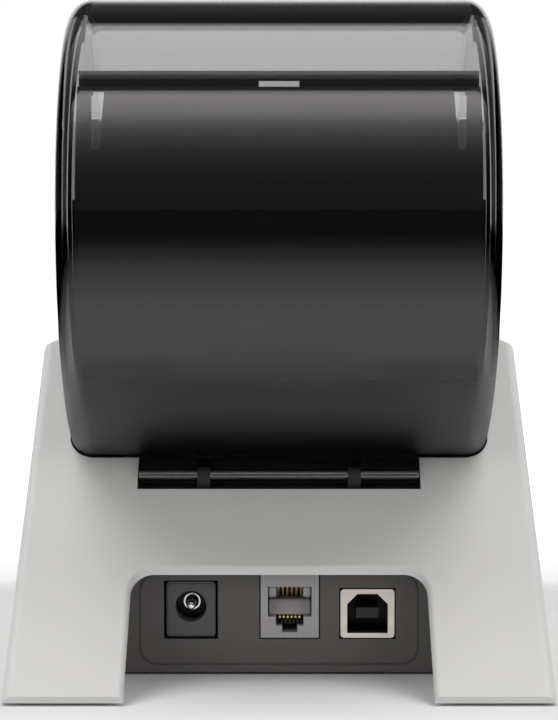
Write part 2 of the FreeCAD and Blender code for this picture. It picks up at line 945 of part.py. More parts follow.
def hood_profile(inset, below):
    """Closed edges of the hood's side outline, inset from its skin. With below, it runs out at the bottom."""
    upper = drum_upper_radius - inset
    lower = drum_lower_radius - inset
    upper_y = rear_y - drum_rear_from_rear - drum_upper_radius
    lower_y = rear_y - drum_rear_from_rear - drum_lower_radius
    edge_y = rear_y - drum_edge_from_rear - (hood_edge_inset if below else 0)
    edge_degrees = -math.degrees(math.acos((edge_y - lower_y) / lower))
    edge_z = drum_height + lower * math.sin(math.radians(edge_degrees))
    roof_z = drum_height + upper
    lip_y = tower_rear - hood_lip_overlap
    lip_z = tower_top + hood_lip_gap
    corner_y = upper_y - roof_length
    corner_z = drum_height + drum_upper_radius
    run = corner_y - lip_y
    rise = corner_z - lip_z
    grade = rise / run
    shift = inset * math.hypot(run, rise) / run
    roof_end = lip_y + (roof_z - lip_z + shift) / grade
    side_front = tower_rear + hood_tower_gap
    side_low = wing_top - hood_skirt
    edges = [
        arc(lower_y, drum_height, lower, edge_degrees, 0),
        arc(upper_y, drum_height, upper, 0, 90),
        line(upper_y, roof_z, roof_end, roof_z),
    ]
    if below:
        out_y = lip_y - bay_cut_reach
        out_z = lip_z - shift + grade * (out_y - lip_y)
        out_low = bay_wall_bottom - bay_cut_reach
        points = [(roof_end, roof_z), (out_y, out_z), (out_y, out_low)]
        points += [(edge_y - hood_edge_land, out_low), (edge_y, edge_z)]
    else:
        points = [(roof_end, roof_z), (lip_y, lip_z), (side_front, lip_z), (side_front, side_low)]
        points += [(edge_y - hood_edge_land, edge_z + hood_edge_rise), (edge_y, edge_z)]
    for start, end in zip(points, points[1:]):
        edges.append(line(start[0], start[1], end[0], end[1]))
    return edges


def skin_edges(solid, half):
    """Edges along the drum, roof and front window where they meet a side face."""
    found = []
    side_front = tower_rear + hood_tower_gap
    for edge in solid.Edges:
        middle = edge.CenterOfMass
        if abs(abs(middle.x) - half) > hair:
            continue
        curved = edge.Curve.TypeId == "Part::GeomCircle"
        high = middle.z > tower_top + hood_wall
        if curved or (high and middle.y > side_front - bay_cut_reach):
            found.append(edge)
    return found


def make_hood():
    outer = side_prism_from_edges(hood_profile(0, False), -hood_half, hood_half)
    outer = outer.makeFillet(hood_side_fillet, skin_edges(outer, hood_half))
    inner_half = hood_half - hood_wall
    inner = side_prism_from_edges(hood_profile(hood_wall, True), -inner_half, inner_half)
    inner = inner.makeFillet(hood_inner_fillet, skin_edges(inner, inner_half))
    shell = outer.cut(inner)
    spans = hinge_spans()
    barrels = [rod(x0, x1, hinge_y, hinge_height, hinge_barrel_radius) for x0, x1 in spans]
    lower_y = rear_y - drum_rear_from_rear - drum_lower_radius
    edge_y = rear_y - drum_edge_from_rear
    edge_z = drum_height - math.sqrt(drum_lower_radius**2 - (edge_y - lower_y) ** 2) + hood_wall / 2
    run = Vector(0, edge_y - hinge_y, edge_z - hinge_height)
    across = Vector(0, -run.z, run.y).normalize() * hinge_web / 2
    start = Vector(0, hinge_y, hinge_height)
    corners = [start + across, start + run + across, start + run - across, start - across]
    tongue = [(corner.y, corner.z) for corner in corners]
    webs = [side_prism(tongue, x0, x1) for x0, x1 in spans]
    bore_radius = hinge_pin_diameter / 2 + running_clearance
    bore = rod(-half_width, half_width, hinge_y, hinge_height, bore_radius)
    cuts = [bore]
    pocket_half = knuckle_width / 2 + hinge_end_gap
    for side in (-1, 1):
        x = side * knuckle_offset
        cuts.append(rod(x - pocket_half, x + pocket_half, hinge_y, hinge_height, knuckle_radius + fit_gap))
    return shell.fuse(barrels + webs).removeSplitter().cut(cuts)


def hinge_spans():
    """X ranges of the three hood barrels between and beside the two knuckles."""
    inside = knuckle_offset - knuckle_width / 2 - hinge_end_gap
    outside = knuckle_offset + knuckle_width / 2 + hinge_end_gap
    end = notch_half_width - 2 * hinge_end_gap
    return [(-end, -outside), (-inside, inside), (outside, end)]


def make_hinge_bracket():
    """Plate under the hinge notch with two knuckles for the pin."""
    drop = wall / math.cos(math.radians(deck_angle))
    sheet = bracket_thickness / math.cos(math.radians(deck_angle))
    front = deck_edge - bracket_overhang
    rear = front + bracket_length
    outline = [
        (front, deck_z(front) - drop - sheet),
        (rear, deck_z(rear) - drop - sheet),
        (rear, deck_z(rear) - drop),
        (front, deck_z(front) - drop),
    ]
    shapes = [side_prism(outline, -bracket_half_width, bracket_half_width)]
    radius = knuckle_radius
    for side in (-1, 1):
        x0 = side * knuckle_offset - knuckle_width / 2
        x1 = x0 + knuckle_width
        shapes.append(rod(x0, x1, hinge_y, hinge_height, radius))
        low = deck_z(hinge_y) - drop - sheet / 2
        shapes.append(box(x0, x1, hinge_y - radius, hinge_y + radius, low, hinge_height))
    half = bracket_block_width / 2
    block_y = hinge_y + hinge_barrel_radius + fit_gap * 2 / 3
    low = deck_z(block_y) - drop - sheet / 2
    block_end = block_y + bracket_block_thickness
    shapes.append(box(-half, half, block_y, block_end, low, low + bracket_block_height))
    bore = rod(-half_width, half_width, hinge_y, hinge_height, hinge_pin_diameter / 2 + hair)
    return joined(shapes).cut(bore)


def make_hinge_pin():
    end = notch_half_width - hinge_end_gap
    return rod(-end, end, hinge_y, hinge_height, hinge_pin_diameter / 2)


def make_liner():
    """Opaque band that follows the drum's inner skin, with a shelf along its top edge."""
    outer_inset = hood_wall + liner_gap
    inner_inset = outer_inset + liner_thickness
    half = hood_half - hood_wall - liner_edge_inset
    upper_y = rear_y - drum_rear_from_rear - drum_upper_radius
    lower_y = rear_y - drum_rear_from_rear - drum_lower_radius
    bottom_y = rear_y - liner_bottom_from_rear
    ends = []
    edges = []
    for inset in (outer_inset, inner_inset):
        upper = drum_upper_radius - inset
        lower = drum_lower_radius - inset
        low_degrees = -math.degrees(math.acos((bottom_y - lower_y) / lower))
        high_degrees = math.degrees(math.asin((liner_top - drum_height) / upper))
        edges.append(arc(lower_y, drum_height, lower, low_degrees, 0))
        edges.append(arc(upper_y, drum_height, upper, 0, high_degrees))
        low_z = drum_height + lower * math.sin(math.radians(low_degrees))
        high_y = upper_y + upper * math.cos(math.radians(high_degrees))
        ends.append((bottom_y, low_z, high_y))
    edges.append(line(ends[0][0], ends[0][1], ends[1][0], ends[1][1]))
    edges.append(line(ends[0][2], liner_top, ends[1][2], liner_top))
    band = side_prism_from_edges(edges, -half, half)
    shelf_radius = drum_upper_radius - outer_inset
    shelf = rod(-half, half, upper_y, drum_height, shelf_radius)
    shelf = shelf.cut(rod(-half - past, half + past, upper_y, drum_height, shelf_radius - liner_flange_depth))
    shelf_low = liner_top - liner_flange_height
    shelf_reach = upper_y + drum_upper_radius
    shelf = shelf.common(box(-half, half, upper_y, shelf_reach, shelf_low - liner_ledge, liner_top))
    band = band.fuse(shelf).removeSplitter()
    rim_y = ends[0][2]
    band = band.cut(box(-half, half, rim_y, rear_y, shelf_low, liner_top + past))
    ledge = []
    for edge in band.Edges:
        middle = edge.CenterOfMass
        if abs(middle.x) < hair and abs(middle.z - shelf_low) < hair and middle.y > rim_y + past:
            ledge.append(edge)
    band = band.makeFillet(liner_ledge_radius, ledge)
    notch_half = liner_notch_width / 2
    cuts = [box(-notch_half, notch_half, upper_y, rear_y, shelf_low, liner_top - liner_notch_bridge)]
    slot_top = shelf_low - liner_slot_drop
    for side in (-1, 1):
        middle = side * (half - liner_slot_inset)
        corners = []
        for across, height in (
            (-liner_slot_top_width / 2, slot_top),
            (liner_slot_top_width / 2, slot_top),
            (liner_slot_end_width / 2, slot_top - liner_slot_length),
            (-liner_slot_end_width / 2, slot_top - liner_slot_length),
        ):
            corners.append(Vector(middle + across, upper_y, height))
        taper = Part.Face(Part.makePolygon(corners + corners[:1])).extrude(Vector(0, rear_y - upper_y, 0))
        end = Vector(middle, upper_y, slot_top - liner_slot_length)
        cuts.append(taper)
        cuts.append(Part.makeCylinder(liner_slot_end_width / 2, rear_y - upper_y, end, Vector(0, 1, 0)))
    return band.cut(cuts)


def cheek_inner():
    return hood_half - hood_wall - tub_side_gap - tub_wall


def make_tub():
    """Trough under the label roll, with two cheeks for the spool and four posts on the bottom plate."""
    inside = cheek_inner()
    outside = inside + tub_wall
    outer_radius = tub_radius + tub_wall
    edges = [
        arc(spool_y, spool_height, tub_radius, tub_front_angle, tub_rear_angle),
        arc(spool_y, spool_height, outer_radius, tub_front_angle, tub_rear_angle),
    ]
    for degrees in (tub_front_angle, tub_rear_angle):
        turn = math.radians(degrees)
        across = math.cos(turn)
        up = math.sin(turn)
        edges.append(
            line(
                spool_y + tub_radius * across,
                spool_height + tub_radius * up,
                spool_y + outer_radius * across,
                spool_height + outer_radius * up,
            )
        )
    shapes = [side_prism_from_edges(edges, -inside - sink, inside + sink)]
    slot_half = trunnion_diameter / 2 + spool_clearance
    for x0, x1 in ((inside, outside), (-outside, -inside)):
        cheek = rod(x0, x1, spool_y, spool_height, outer_radius)
        low = spool_height - outer_radius - past
        cheek = cheek.common(box(x0, x1, spool_y - outer_radius, spool_y + outer_radius, low, cheek_top))
        cheek = cheek.cut(rod(x0 - past, x1 + past, spool_y, spool_height, slot_half))
        mouth_top = cheek_top + past
        mouth = box(
            x0 - past, x1 + past, spool_y - slot_half, spool_y + slot_half, spool_height, mouth_top
        )
        shapes.append(cheek.cut(mouth))
    for y in (spool_y - tub_post_ahead, spool_y + tub_post_behind):
        reach = spool_height - math.sqrt(outer_radius**2 - (abs(y - spool_y) + tub_post / 2) ** 2)
        shapes += mirrored_boxes(
            outside - tub_post, outside, y - tub_post / 2, y + tub_post / 2, plate_top, reach
        )
    return joined(shapes)


def make_spool_core():
    inside = cheek_inner() - spool_end_gap
    shapes = [rod(-inside, inside, spool_y, spool_height, core_diameter / 2)]
    shapes.append(rod(inside - flange_thickness, inside, spool_y, spool_height, flange_diameter / 2))
    core = joined(shapes)
    hollow = inside - core_end_wall
    core = core.cut(rod(-hollow, hollow, spool_y, spool_height, core_bore / 2))
    reach = inside + trunnion_length - spool_end_gap
    ends = [rod(-reach, -inside + sink, spool_y, spool_height, trunnion_diameter / 2)]
    ends.append(rod(inside - sink, reach, spool_y, spool_height, trunnion_diameter / 2))
    return joined([core] + ends)


def make_spool_flange():
    inside = cheek_inner() - spool_end_gap
    outer = rod(-inside, -inside + flange_thickness, spool_y, spool_height, flange_diameter / 2)
    collar_end = -inside + 3 * flange_thickness
    collar = rod(-inside, collar_end, spool_y, spool_height, core_diameter / 2 + flange_thickness)
    bore_radius = core_diameter / 2 + flange_bore_gap
    bore = rod(-inside - past, collar_end + past, spool_y, spool_height, bore_radius)
    return joined([outer, collar]).cut(bore)


def make_side_plate(side):
    """Steel cheek of the mechanism with a flange screwed to the tower wall."""
    x0 = side_plate_inner if side > 0 else -plate_outer
    x1 = x0 + side_plate_thickness
    back = tower_inner - fit_gap
    low_front = front_face_y(side_plate_bottom) + wall + mech_front_gap
    high_front = front_face_y(side_plate_top) + wall + mech_front_gap
    outline = [
        (back, side_plate_bottom),
        (back, side_plate_top),
        (high_front, side_plate_top),
        (low_front, side_plate_bottom),
    ]
    plate = side_prism(outline, x0, x1)
    flange_x = sorted((side * (side_plate_inner - mech_flange_width), side * (side_plate_inner + sink)))
    flange = box(
        flange_x[0],
        flange_x[1],
        tower_inner - side_plate_thickness,
        tower_inner,
        mech_flange_bottom,
        mech_flange_top,
    )
    screw_hole = screw_radius + screw_clearance
    places = [(platen_y, platen_height, bush_radius + hair)]
    places.append((carrier_pin_y, carrier_pin_height, carrier_pin_diameter / 2 + hair))
    if side > 0:
        for centre in (upper_idler_at, lower_idler_at):
            places.append((centre.y, centre.z, idler_stud_diameter / 2 + hair))
        places.append((motor_at.y, motor_at.z, motor_shaft_diameter))
        for y, z in motor_ear_places():
            places.append((y, z, screw_hole))
    holes = [rod(x0 - past, x1 + past, y, z, radius) for y, z, radius in places]
    for x, z in mech_screw_places():
        start = Vector(x, tower_inner - mech_flange_width / 2, z)
        holes.append(Part.makeCylinder(screw_hole, mech_flange_width, start, Vector(0, 1, 0)))
    return joined([plate, flange]).cut(holes)


def make_mech_screws():
    screws = []
    for x, z in mech_screw_places():
        seat = tower_inner - side_plate_thickness
        out = Vector(0, 1, 0)
        head_start = Vector(x, seat - screw_head_height, z)
        head = Part.makeCylinder(screw_head_radius, screw_head_height, head_start, out)
        shank_start = Vector(x, seat - sink, z)
        shank = Part.makeCylinder(screw_radius, side_plate_thickness + wall, shank_start, out)
        screws.append(joined([head, shank]))
    return screws


def motor_ear_places():
    places = []
    for degrees in motor_ear_angles:
        turn = math.radians(degrees)
        y = motor_at.y + motor_ear_circle * math.cos(turn)
        z = motor_at.z + motor_ear_circle * math.sin(turn)
        places.append((y, z))
    return places


def make_motor():
    can = rod(side_plate_inner - motor_length, side_plate_inner, motor_at.y, motor_at.z, motor_radius)
    shapes = [can]
    x0 = side_plate_inner - motor_ear_thickness
    hole_start = x0 - motor_shaft_seat
    hole_end = side_plate_inner + past
    shaft_hole = motor_shaft_diameter / 2 + running_clearance
    holes = [rod(hole_start, hole_end, motor_at.y, motor_at.z, shaft_hole)]
    for y, z in motor_ear_places():
        shapes.append(rod(x0, side_plate_inner, y, z, motor_ear_radius))
        middle = Vector(0, (y + motor_at.y) / 2, (z + motor_at.z) / 2)
        bridge = box(
            x0,
            side_plate_inner,
            middle.y - motor_ear_radius,
            middle.y + motor_ear_radius,
            z,
            motor_at.z,
        )
        shapes.append(bridge)
        holes.append(rod(hole_start, hole_end, y, z, screw_radius + screw_clearance))
    return joined(shapes).cut(holes)


def make_motor_screws():
    screws = []
    for y, z in motor_ear_places():
        head = rod(plate_outer, plate_outer + screw_head_height, y, z, screw_head_radius)
        start = side_plate_inner - 2 * motor_ear_thickness
        screws.append(joined([head, rod(start, plate_outer + sink, y, z, screw_radius)]))
    return screws


def gear_solid(centre, teeth, x0, x1, bore, phase):
    """Spur gear along X with involute teeth, thinned by the backlash."""
    pitch = gear_module * teeth / 2
    base = pitch * math.cos(math.radians(pressure_angle))
    tip = pitch + tooth_height * gear_module
    root = pitch - tooth_depth * gear_module
    pitch_angle = math.sqrt((pitch / base) ** 2 - 1)
    flank_turn = pitch_angle - math.atan(pitch_angle)
    half_tooth = math.pi / (2 * teeth) - gear_backlash / (2 * pitch)
    tip_angle = math.sqrt((tip / base) ** 2 - 1)
    low_angle = math.sqrt(max((root / base) ** 2 - 1, 0))
    side = []
    if root < base:
        side.append((root, half_tooth + flank_turn))
    for step in range(flank_steps + 1):
        angle = low_angle + (tip_angle - low_angle) * step / flank_steps
        radius = base * math.sqrt(1 + angle * angle)
        side.append((radius, half_tooth + flank_turn - (angle - math.atan(angle))))
    corners = []
    for tooth in range(teeth):
        middle = phase + 2 * math.pi * tooth / teeth
        for radius, turn in side:
            corners.append((radius, middle - turn))
        for radius, turn in reversed(side):
            corners.append((radius, middle + turn))
    points = []
    for radius, turn in corners:
        points.append((centre.y + radius * math.cos(turn), centre.z + radius * math.sin(turn)))
    return side_prism(points, x0, x1).cut(rod(x0 - past, x1 + past, centre.y, centre.z, bore / 2))


def next_phase(phase, teeth, next_teeth, way):
    """Start angle of a gear whose gap takes the meshing tooth of the gear before it."""
    along = math.atan2(way.z, way.y)
    offset = (along - phase) * teeth / (2 * math.pi)
    offset -= round(offset)
    return along + math.pi + (0.5 + offset) * 2 * math.pi / next_teeth


def make_idler_stud(centre):
    radius = idler_stud_diameter / 2
    end = gear_end + fit_gap
    stud = rod(side_plate_inner, end + stud_cap, centre.y, centre.z, radius)
    collar = rod(plate_outer, gear_start - fit_gap, centre.y, centre.z, 2 * radius)
    cap = rod(end, end + stud_cap, centre.y, centre.z, 2 * radius)
    return joined([stud, collar, cap])


def make_tear_bar():
    """Thin steel blade with a saw edge along the front of the label exit."""
    y0 = path_y - exit_slot_width / 2 - tear_bar_thickness
    half = exit_slot_half_length - tear_bar_end_gap
    top = tower_top + tear_bar_proud
    count = int(2 * half / tear_tooth_pitch)
    pitch = 2 * half / count
    corners = [Vector(-half, y0, tear_bar_bottom)]
    for index in range(count):
        start = -half + pitch * index
        corners.append(Vector(start, y0, top - tear_bar_proud / 2))
        corners.append(Vector(start + pitch / 2, y0, top))
    corners.append(Vector(half, y0, top - tear_bar_proud / 2))
    corners.append(Vector(half, y0, tear_bar_bottom))
    face = Part.Face(Part.makePolygon(corners + corners[:1]))
    return face.extrude(Vector(0, tear_bar_thickness, 0))


def make_carrier():
    plate = box(-carrier_half_width, carrier_half_width, head_back, carrier_back, carrier_bottom, carrier_top)
    reach = side_plate_inner - carrier_side_gap
    boss = rod(-reach, reach, carrier_pin_y, carrier_pin_height, carrier_boss_radius)
    bore_radius = carrier_pin_diameter / 2 + running_clearance
    bore = rod(-reach - past, reach + past, carrier_pin_y, carrier_pin_height, bore_radius)
    return joined([plate, boss]).cut(bore)


def make_springs():
    """Two bowed leaf springs that stand on the tower wall and press on the back of the head carrier."""
    crest_y = carrier_back + spring_gap
    foot_y = tower_inner - spring_thickness
    crest_z = spring_crest / 2
    bend_z = crest_z + spring_slant
    end_z = bend_z + spring_foot
    lower_half = [(foot_y, -end_z), (foot_y, -bend_z), (crest_y, -crest_z)]
    outer = lower_half + [(y, -z) for y, z in reversed(lower_half)]
    inner = [(y + spring_thickness, z) for y, z in reversed(outer)]
    outline = [(y, spring_height + z) for y, z in outer + inner]
    return [side_prism(outline, x - spring_width / 2, x + spring_width / 2) for x in (-spring_x, spring_x)]


def make_all():
    save("main_casing", make_casing())
    save("front_cover", make_front_cover())
    save("bottom_plate", make_bottom_plate())
    foot_top = foot_stand + foot_recess
    save("rubber_feet", [post(x, y, 0, foot_top, foot_radius) for x, y in foot_places()])
    seat = foot_stand + screw_head_height + screw_clearance
    tip = plate_top + boss_height - 2 * boss_cap
    save("case_screws", [screw_up(x, y, seat, tip) for x, y in boss_places()])
    save("main_board", make_main_board())
    tip = foot_stand + board_screw_tip
    save("board_screws", [screw_down(x, y, board_top, tip) for x, y in board_screw_places()])
    save("board_chips", make_chips())
    save("capacitors", make_capacitors())
    save("connector_panel", make_panel())
    save("dc_jack", make_dc_jack())
    save("dc_jack_contacts", make_dc_contacts())
    save("modular_jack", make_modular_jack())
    save("modular_jack_contacts", make_modular_contacts())
    save("data_jack_shell", make_data_shell())
    save("data_jack_insert", make_data_insert())
    save("hood", make_hood())
    save("hood_liner", make_liner())
    save("hinge_bracket", make_hinge_bracket())
    save("hinge_pin", make_hinge_pin())
    save("roll_tub", make_tub())
    save("spool_core", make_spool_core())
    save("spool_flange", make_spool_flange())
    save("mech_plate_left", make_side_plate(-1))
    save("mech_plate_right", make_side_plate(1))
    save("mech_screws", make_mech_screws())
    half_roller = platen_length / 2
    shaft_radius = platen_shaft_diameter / 2
    roller = rod(-half_roller, half_roller, platen_y, platen_height, platen_diameter / 2)
    roller_bore = rod(-half_roller, half_roller, platen_y, platen_height, shaft_radius)
    save("platen_roller", roller.cut(roller_bore))
    shaft = rod(-plate_outer - bush_flange, gear_end + shaft_end, platen_y, platen_height, shaft_radius)
    save("platen_shaft", shaft)
    bushes = []
    for x0, x1, flange0 in (
        (side_plate_inner, plate_outer, plate_outer),
        (-plate_outer, -side_plate_inner, -plate_outer - bush_flange),
    ):
        sleeve = rod(x0, x1, platen_y, platen_height, bush_radius)
        flange = rod(flange0, flange0 + bush_flange, platen_y, platen_height, bush_flange_radius)
        bore = rod(x0 - 2 * past, x1 + 2 * past, platen_y, platen_height, shaft_radius + running_clearance)
        bushes.append(joined([sleeve, flange]).cut(bore))
    save("platen_bushes", bushes)
    upper_phase = next_phase(0, platen_teeth, idler_teeth, upper_way)
    lower_phase = next_phase(upper_phase, idler_teeth, idler_teeth, lower_way)
    pinion_phase = next_phase(lower_phase, idler_teeth, pinion_teeth, pinion_way)
    platen_gear = gear_solid(platen_at, platen_teeth, gear_start, gear_end, platen_shaft_diameter, 0)
    save("platen_gear", platen_gear)
    idler_bore = idler_stud_diameter + 2 * running_clearance
    for name, centre, phase in (
        ("upper_idler", upper_idler_at, upper_phase),
        ("lower_idler", lower_idler_at, lower_phase),
    ):
        save(name + "_gear", gear_solid(centre, idler_teeth, gear_start, gear_end, idler_bore, phase))
        save(name + "_stud", make_idler_stud(centre))
    save("motor", make_motor())
    save("motor_screws", make_motor_screws())
    pinion = gear_solid(motor_at, pinion_teeth, gear_start, gear_end, motor_shaft_diameter, pinion_phase)
    save("motor_pinion", pinion)
    shaft_start = side_plate_inner - motor_shaft_seat
    motor_shaft = rod(shaft_start, gear_end + shaft_end, motor_at.y, motor_at.z, motor_shaft_diameter / 2)
    save("motor_shaft", motor_shaft)
    head = box(-head_half_width, head_half_width, head_face, head_back, head_bottom, head_top)
    save("print_head", head)
    save("head_carrier", make_carrier())
    reach = plate_outer + shaft_end
    pin = rod(-reach, reach, carrier_pin_y, carrier_pin_height, carrier_pin_diameter / 2)
    save("head_pivot_pin", pin)
    save("head_springs", make_springs())
    save("tear_bar", make_tear_bar())
    save("feed_button", make_button(feed_button_slope))
    save("power_button", make_button(power_button_slope))
    save("status_lens", make_lens())
    save("button_board", make_button_board())


os.makedirs("parts", exist_ok=True)
make_all()
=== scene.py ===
import bmesh
import bpy
import math
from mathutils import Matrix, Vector


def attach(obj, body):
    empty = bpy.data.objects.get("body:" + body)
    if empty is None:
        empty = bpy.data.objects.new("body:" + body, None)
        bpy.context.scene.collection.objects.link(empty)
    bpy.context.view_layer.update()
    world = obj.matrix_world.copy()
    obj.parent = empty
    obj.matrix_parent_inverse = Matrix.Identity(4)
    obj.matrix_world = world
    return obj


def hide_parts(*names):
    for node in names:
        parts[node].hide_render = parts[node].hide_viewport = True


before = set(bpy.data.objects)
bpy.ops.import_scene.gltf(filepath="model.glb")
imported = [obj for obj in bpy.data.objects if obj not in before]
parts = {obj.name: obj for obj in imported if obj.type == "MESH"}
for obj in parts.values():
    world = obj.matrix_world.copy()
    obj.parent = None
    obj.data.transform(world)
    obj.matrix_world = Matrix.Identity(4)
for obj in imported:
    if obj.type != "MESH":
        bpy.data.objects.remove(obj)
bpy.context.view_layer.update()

# Main casing and front cover
# Two shells of pale, finely textured ABS that meet along a leaning joint line.
# Each is injection moulded, and the pair is screwed to the bottom plate from below.
casing_colour = (0.745, 0.735, 0.722)
casing_shadow_colour = (0.70, 0.69, 0.675)
casing_grain_per_metre = 2600.0
casing_grain_depth = 0.10
casing_mottle_per_metre = 14.0
casing_roughness = 0.46
grain_height = 0.0001
gloss_variation = 0.06


def start_material(name):
    """A bare material, with its node tree and its Principled shader."""
    material = bpy.data.materials.new(name)
    material.use_nodes = True
    tree = material.node_tree
    shader = tree.nodes["Principled BSDF"]
    return material, tree, shader


def place_group(tree, group, values):
    """Places a shader node group in a tree and sets its inputs by name."""
    node = tree.nodes.new("ShaderNodeGroup")
    node.node_tree = group
    for name, value in values.items():
        node.inputs[name].default_value = value
    return node


def two_tone(tree, mask, first, second):
    """Colour that runs from the first to the second as the mask rises."""
    mix = tree.nodes.new("ShaderNodeMix")
    mix.data_type = "RGBA"
    mix.inputs["A"].default_value = (*first, 1)
    mix.inputs["B"].default_value = (*second, 1)
    tree.links.new(mask, mix.inputs["Factor"])
    return mix.outputs["Result"]


def spread(tree, value, at_low, at_high, low=0.0, high=1.0, smooth=False):
    """Value that runs from at_low to at_high as another one rises from low to high."""
    ramp = tree.nodes.new("ShaderNodeMapRange")
    ramp.interpolation_type = "SMOOTHSTEP" if smooth else "LINEAR"
    ramp.inputs["From Min"].default_value = low
    ramp.inputs["From Max"].default_value = high
    ramp.inputs["To Min"].default_value = at_low
    ramp.inputs["To Max"].default_value = at_high
    tree.links.new(value, ramp.inputs["Value"])
    return ramp.outputs["Result"]


def build_moulded_grain():
    """Group with the spark-eroded grain of moulded plastic and its faint large-scale mottling."""
    group = bpy.data.node_groups.new("moulded_grain", "ShaderNodeTree")
    face = group.interface
    face.new_socket("Grain per metre", in_out="INPUT", socket_type="NodeSocketFloat")
    face.new_socket("Grain depth", in_out="INPUT", socket_type="NodeSocketFloat")
    face.new_socket("Mottle per metre", in_out="INPUT", socket_type="NodeSocketFloat")
    face.new_socket("Mottle", in_out="OUTPUT", socket_type="NodeSocketFloat")
    face.new_socket("Normal", in_out="OUTPUT", socket_type="NodeSocketVector")
    nodes = group.nodes
    links = group.links
    entry = nodes.new("NodeGroupInput")
    leave = nodes.new("NodeGroupOutput")
    place = nodes.new("ShaderNodeTexCoord")
    grain = nodes.new("ShaderNodeTexNoise")
    grain.inputs["Detail"].default_value = 3
    mottle = nodes.new("ShaderNodeTexNoise")
    mottle.inputs["Detail"].default_value = 4
    bump = nodes.new("ShaderNodeBump")
    bump.inputs["Distance"].default_value = grain_height
    links.new(place.outputs["Object"], grain.inputs["Vector"])
    links.new(place.outputs["Object"], mottle.inputs["Vector"])
    links.new(entry.outputs["Grain per metre"], grain.inputs["Scale"])
    links.new(entry.outputs["Mottle per metre"], mottle.inputs["Scale"])
    links.new(entry.outputs["Grain depth"], bump.inputs["Strength"])
    links.new(grain.outputs["Fac"], bump.inputs["Height"])
    links.new(mottle.outputs["Fac"], leave.inputs["Mottle"])
    links.new(bump.outputs["Normal"], leave.inputs["Normal"])
    return group


moulded_grain = build_moulded_grain()


def moulded_plastic(
    name, colour, other_colour, roughness, grain_per_metre, grain_depth, mottle_per_metre, specular=0.5
):
    """Moulded plastic with a fine grain, a faint mottled tone and slightly uneven gloss."""
    material, tree, shader = start_material(name)
    values = {
        "Grain per metre": grain_per_metre,
        "Grain depth": grain_depth,
        "Mottle per metre": mottle_per_metre,
    }
    grain = place_group(tree, moulded_grain, values)
    mottle = grain.outputs["Mottle"]
    gloss = spread(tree, mottle, roughness - gloss_variation, roughness + gloss_variation)
    tree.links.new(two_tone(tree, mottle, colour, other_colour), shader.inputs["Base Color"])
    tree.links.new(gloss, shader.inputs["Roughness"])
    tree.links.new(grain.outputs["Normal"], shader.inputs["Normal"])
    shader.inputs["Specular IOR Level"].default_value = specular
    return material


def finish_with(material, *names):
    """Gives CAD pieces their finished material."""
    for name in names:
        slots = parts[name].data.materials
        slots.clear()
        slots.append(material)


casing_plastic = moulded_plastic(
    "pale_casing_plastic",
    colour=casing_colour,
    other_colour=casing_shadow_colour,
    roughness=casing_roughness,
    grain_per_metre=casing_grain_per_metre,
    grain_depth=casing_grain_depth,
    mottle_per_metre=casing_mottle_per_metre,
)
finish_with(casing_plastic, "main_casing", "front_cover")

# Bottom plate and connector panel
# Dark grey moulded plates: the floor of the printer, and the socket panel set back in the
# cable recess. Both are screwed or clipped to the casing.
panel_colour = (0.115, 0.108, 0.103)
panel_other_colour = (0.100, 0.094, 0.090)

panel_plastic = moulded_plastic(
    "dark_panel_plastic",
    colour=panel_colour,
    other_colour=panel_other_colour,
    roughness=0.55,
    grain_per_metre=2400.0,
    grain_depth=0.12,
    mottle_per_metre=40.0,
)
finish_with(panel_plastic, "bottom_plate", "connector_panel")

# Rubber feet
# Four discs of soft black rubber, which keep the printer from sliding on a desk.
# They are moulded, and pressed into shallow recesses in the bottom plate.
foot_rubber = moulded_plastic(
    "foot_rubber",
    colour=(0.020, 0.020, 0.020),
    other_colour=(0.034, 0.033, 0.032),
    roughness=0.82,
    grain_per_metre=1600.0,
    grain_depth=0.25,
    mottle_per_metre=120.0,
)
finish_with(foot_rubber, "rubber_feet")

# Screws
# Zinc plated self-tapping screws for the casing, the board, the mechanism and the motor.
# The four casing screws have pan heads with a cross recess and a rolled thread.
zinc_colour = (0.52, 0.53, 0.55)
zinc_other_colour = (0.44, 0.45, 0.47)
line_stretch = 0.03
line_height = 0.00005
line_gloss_variation = 0.08
casing_screw_x = 0.0515
casing_screw_ys = (-0.060, 0.040)
casing_screw_low = 0.00075
screw_head_radius = 0.0027
screw_head_height = 0.0016
screw_head_rounding = 0.0005
screw_head_sides = 32
screw_length = 0.01325
screw_core_radius = 0.00115
screw_core_sides = 20
screw_thread_radius = 0.0015
screw_thread_turns = 8.0
screw_thread_share = 0.93
screw_steps_per_turn = 18
screw_thread_sides = 4
cross_length = 0.0028
cross_width = 0.0006
cross_depth = 0.0011
cross_other_depth = 0.0010


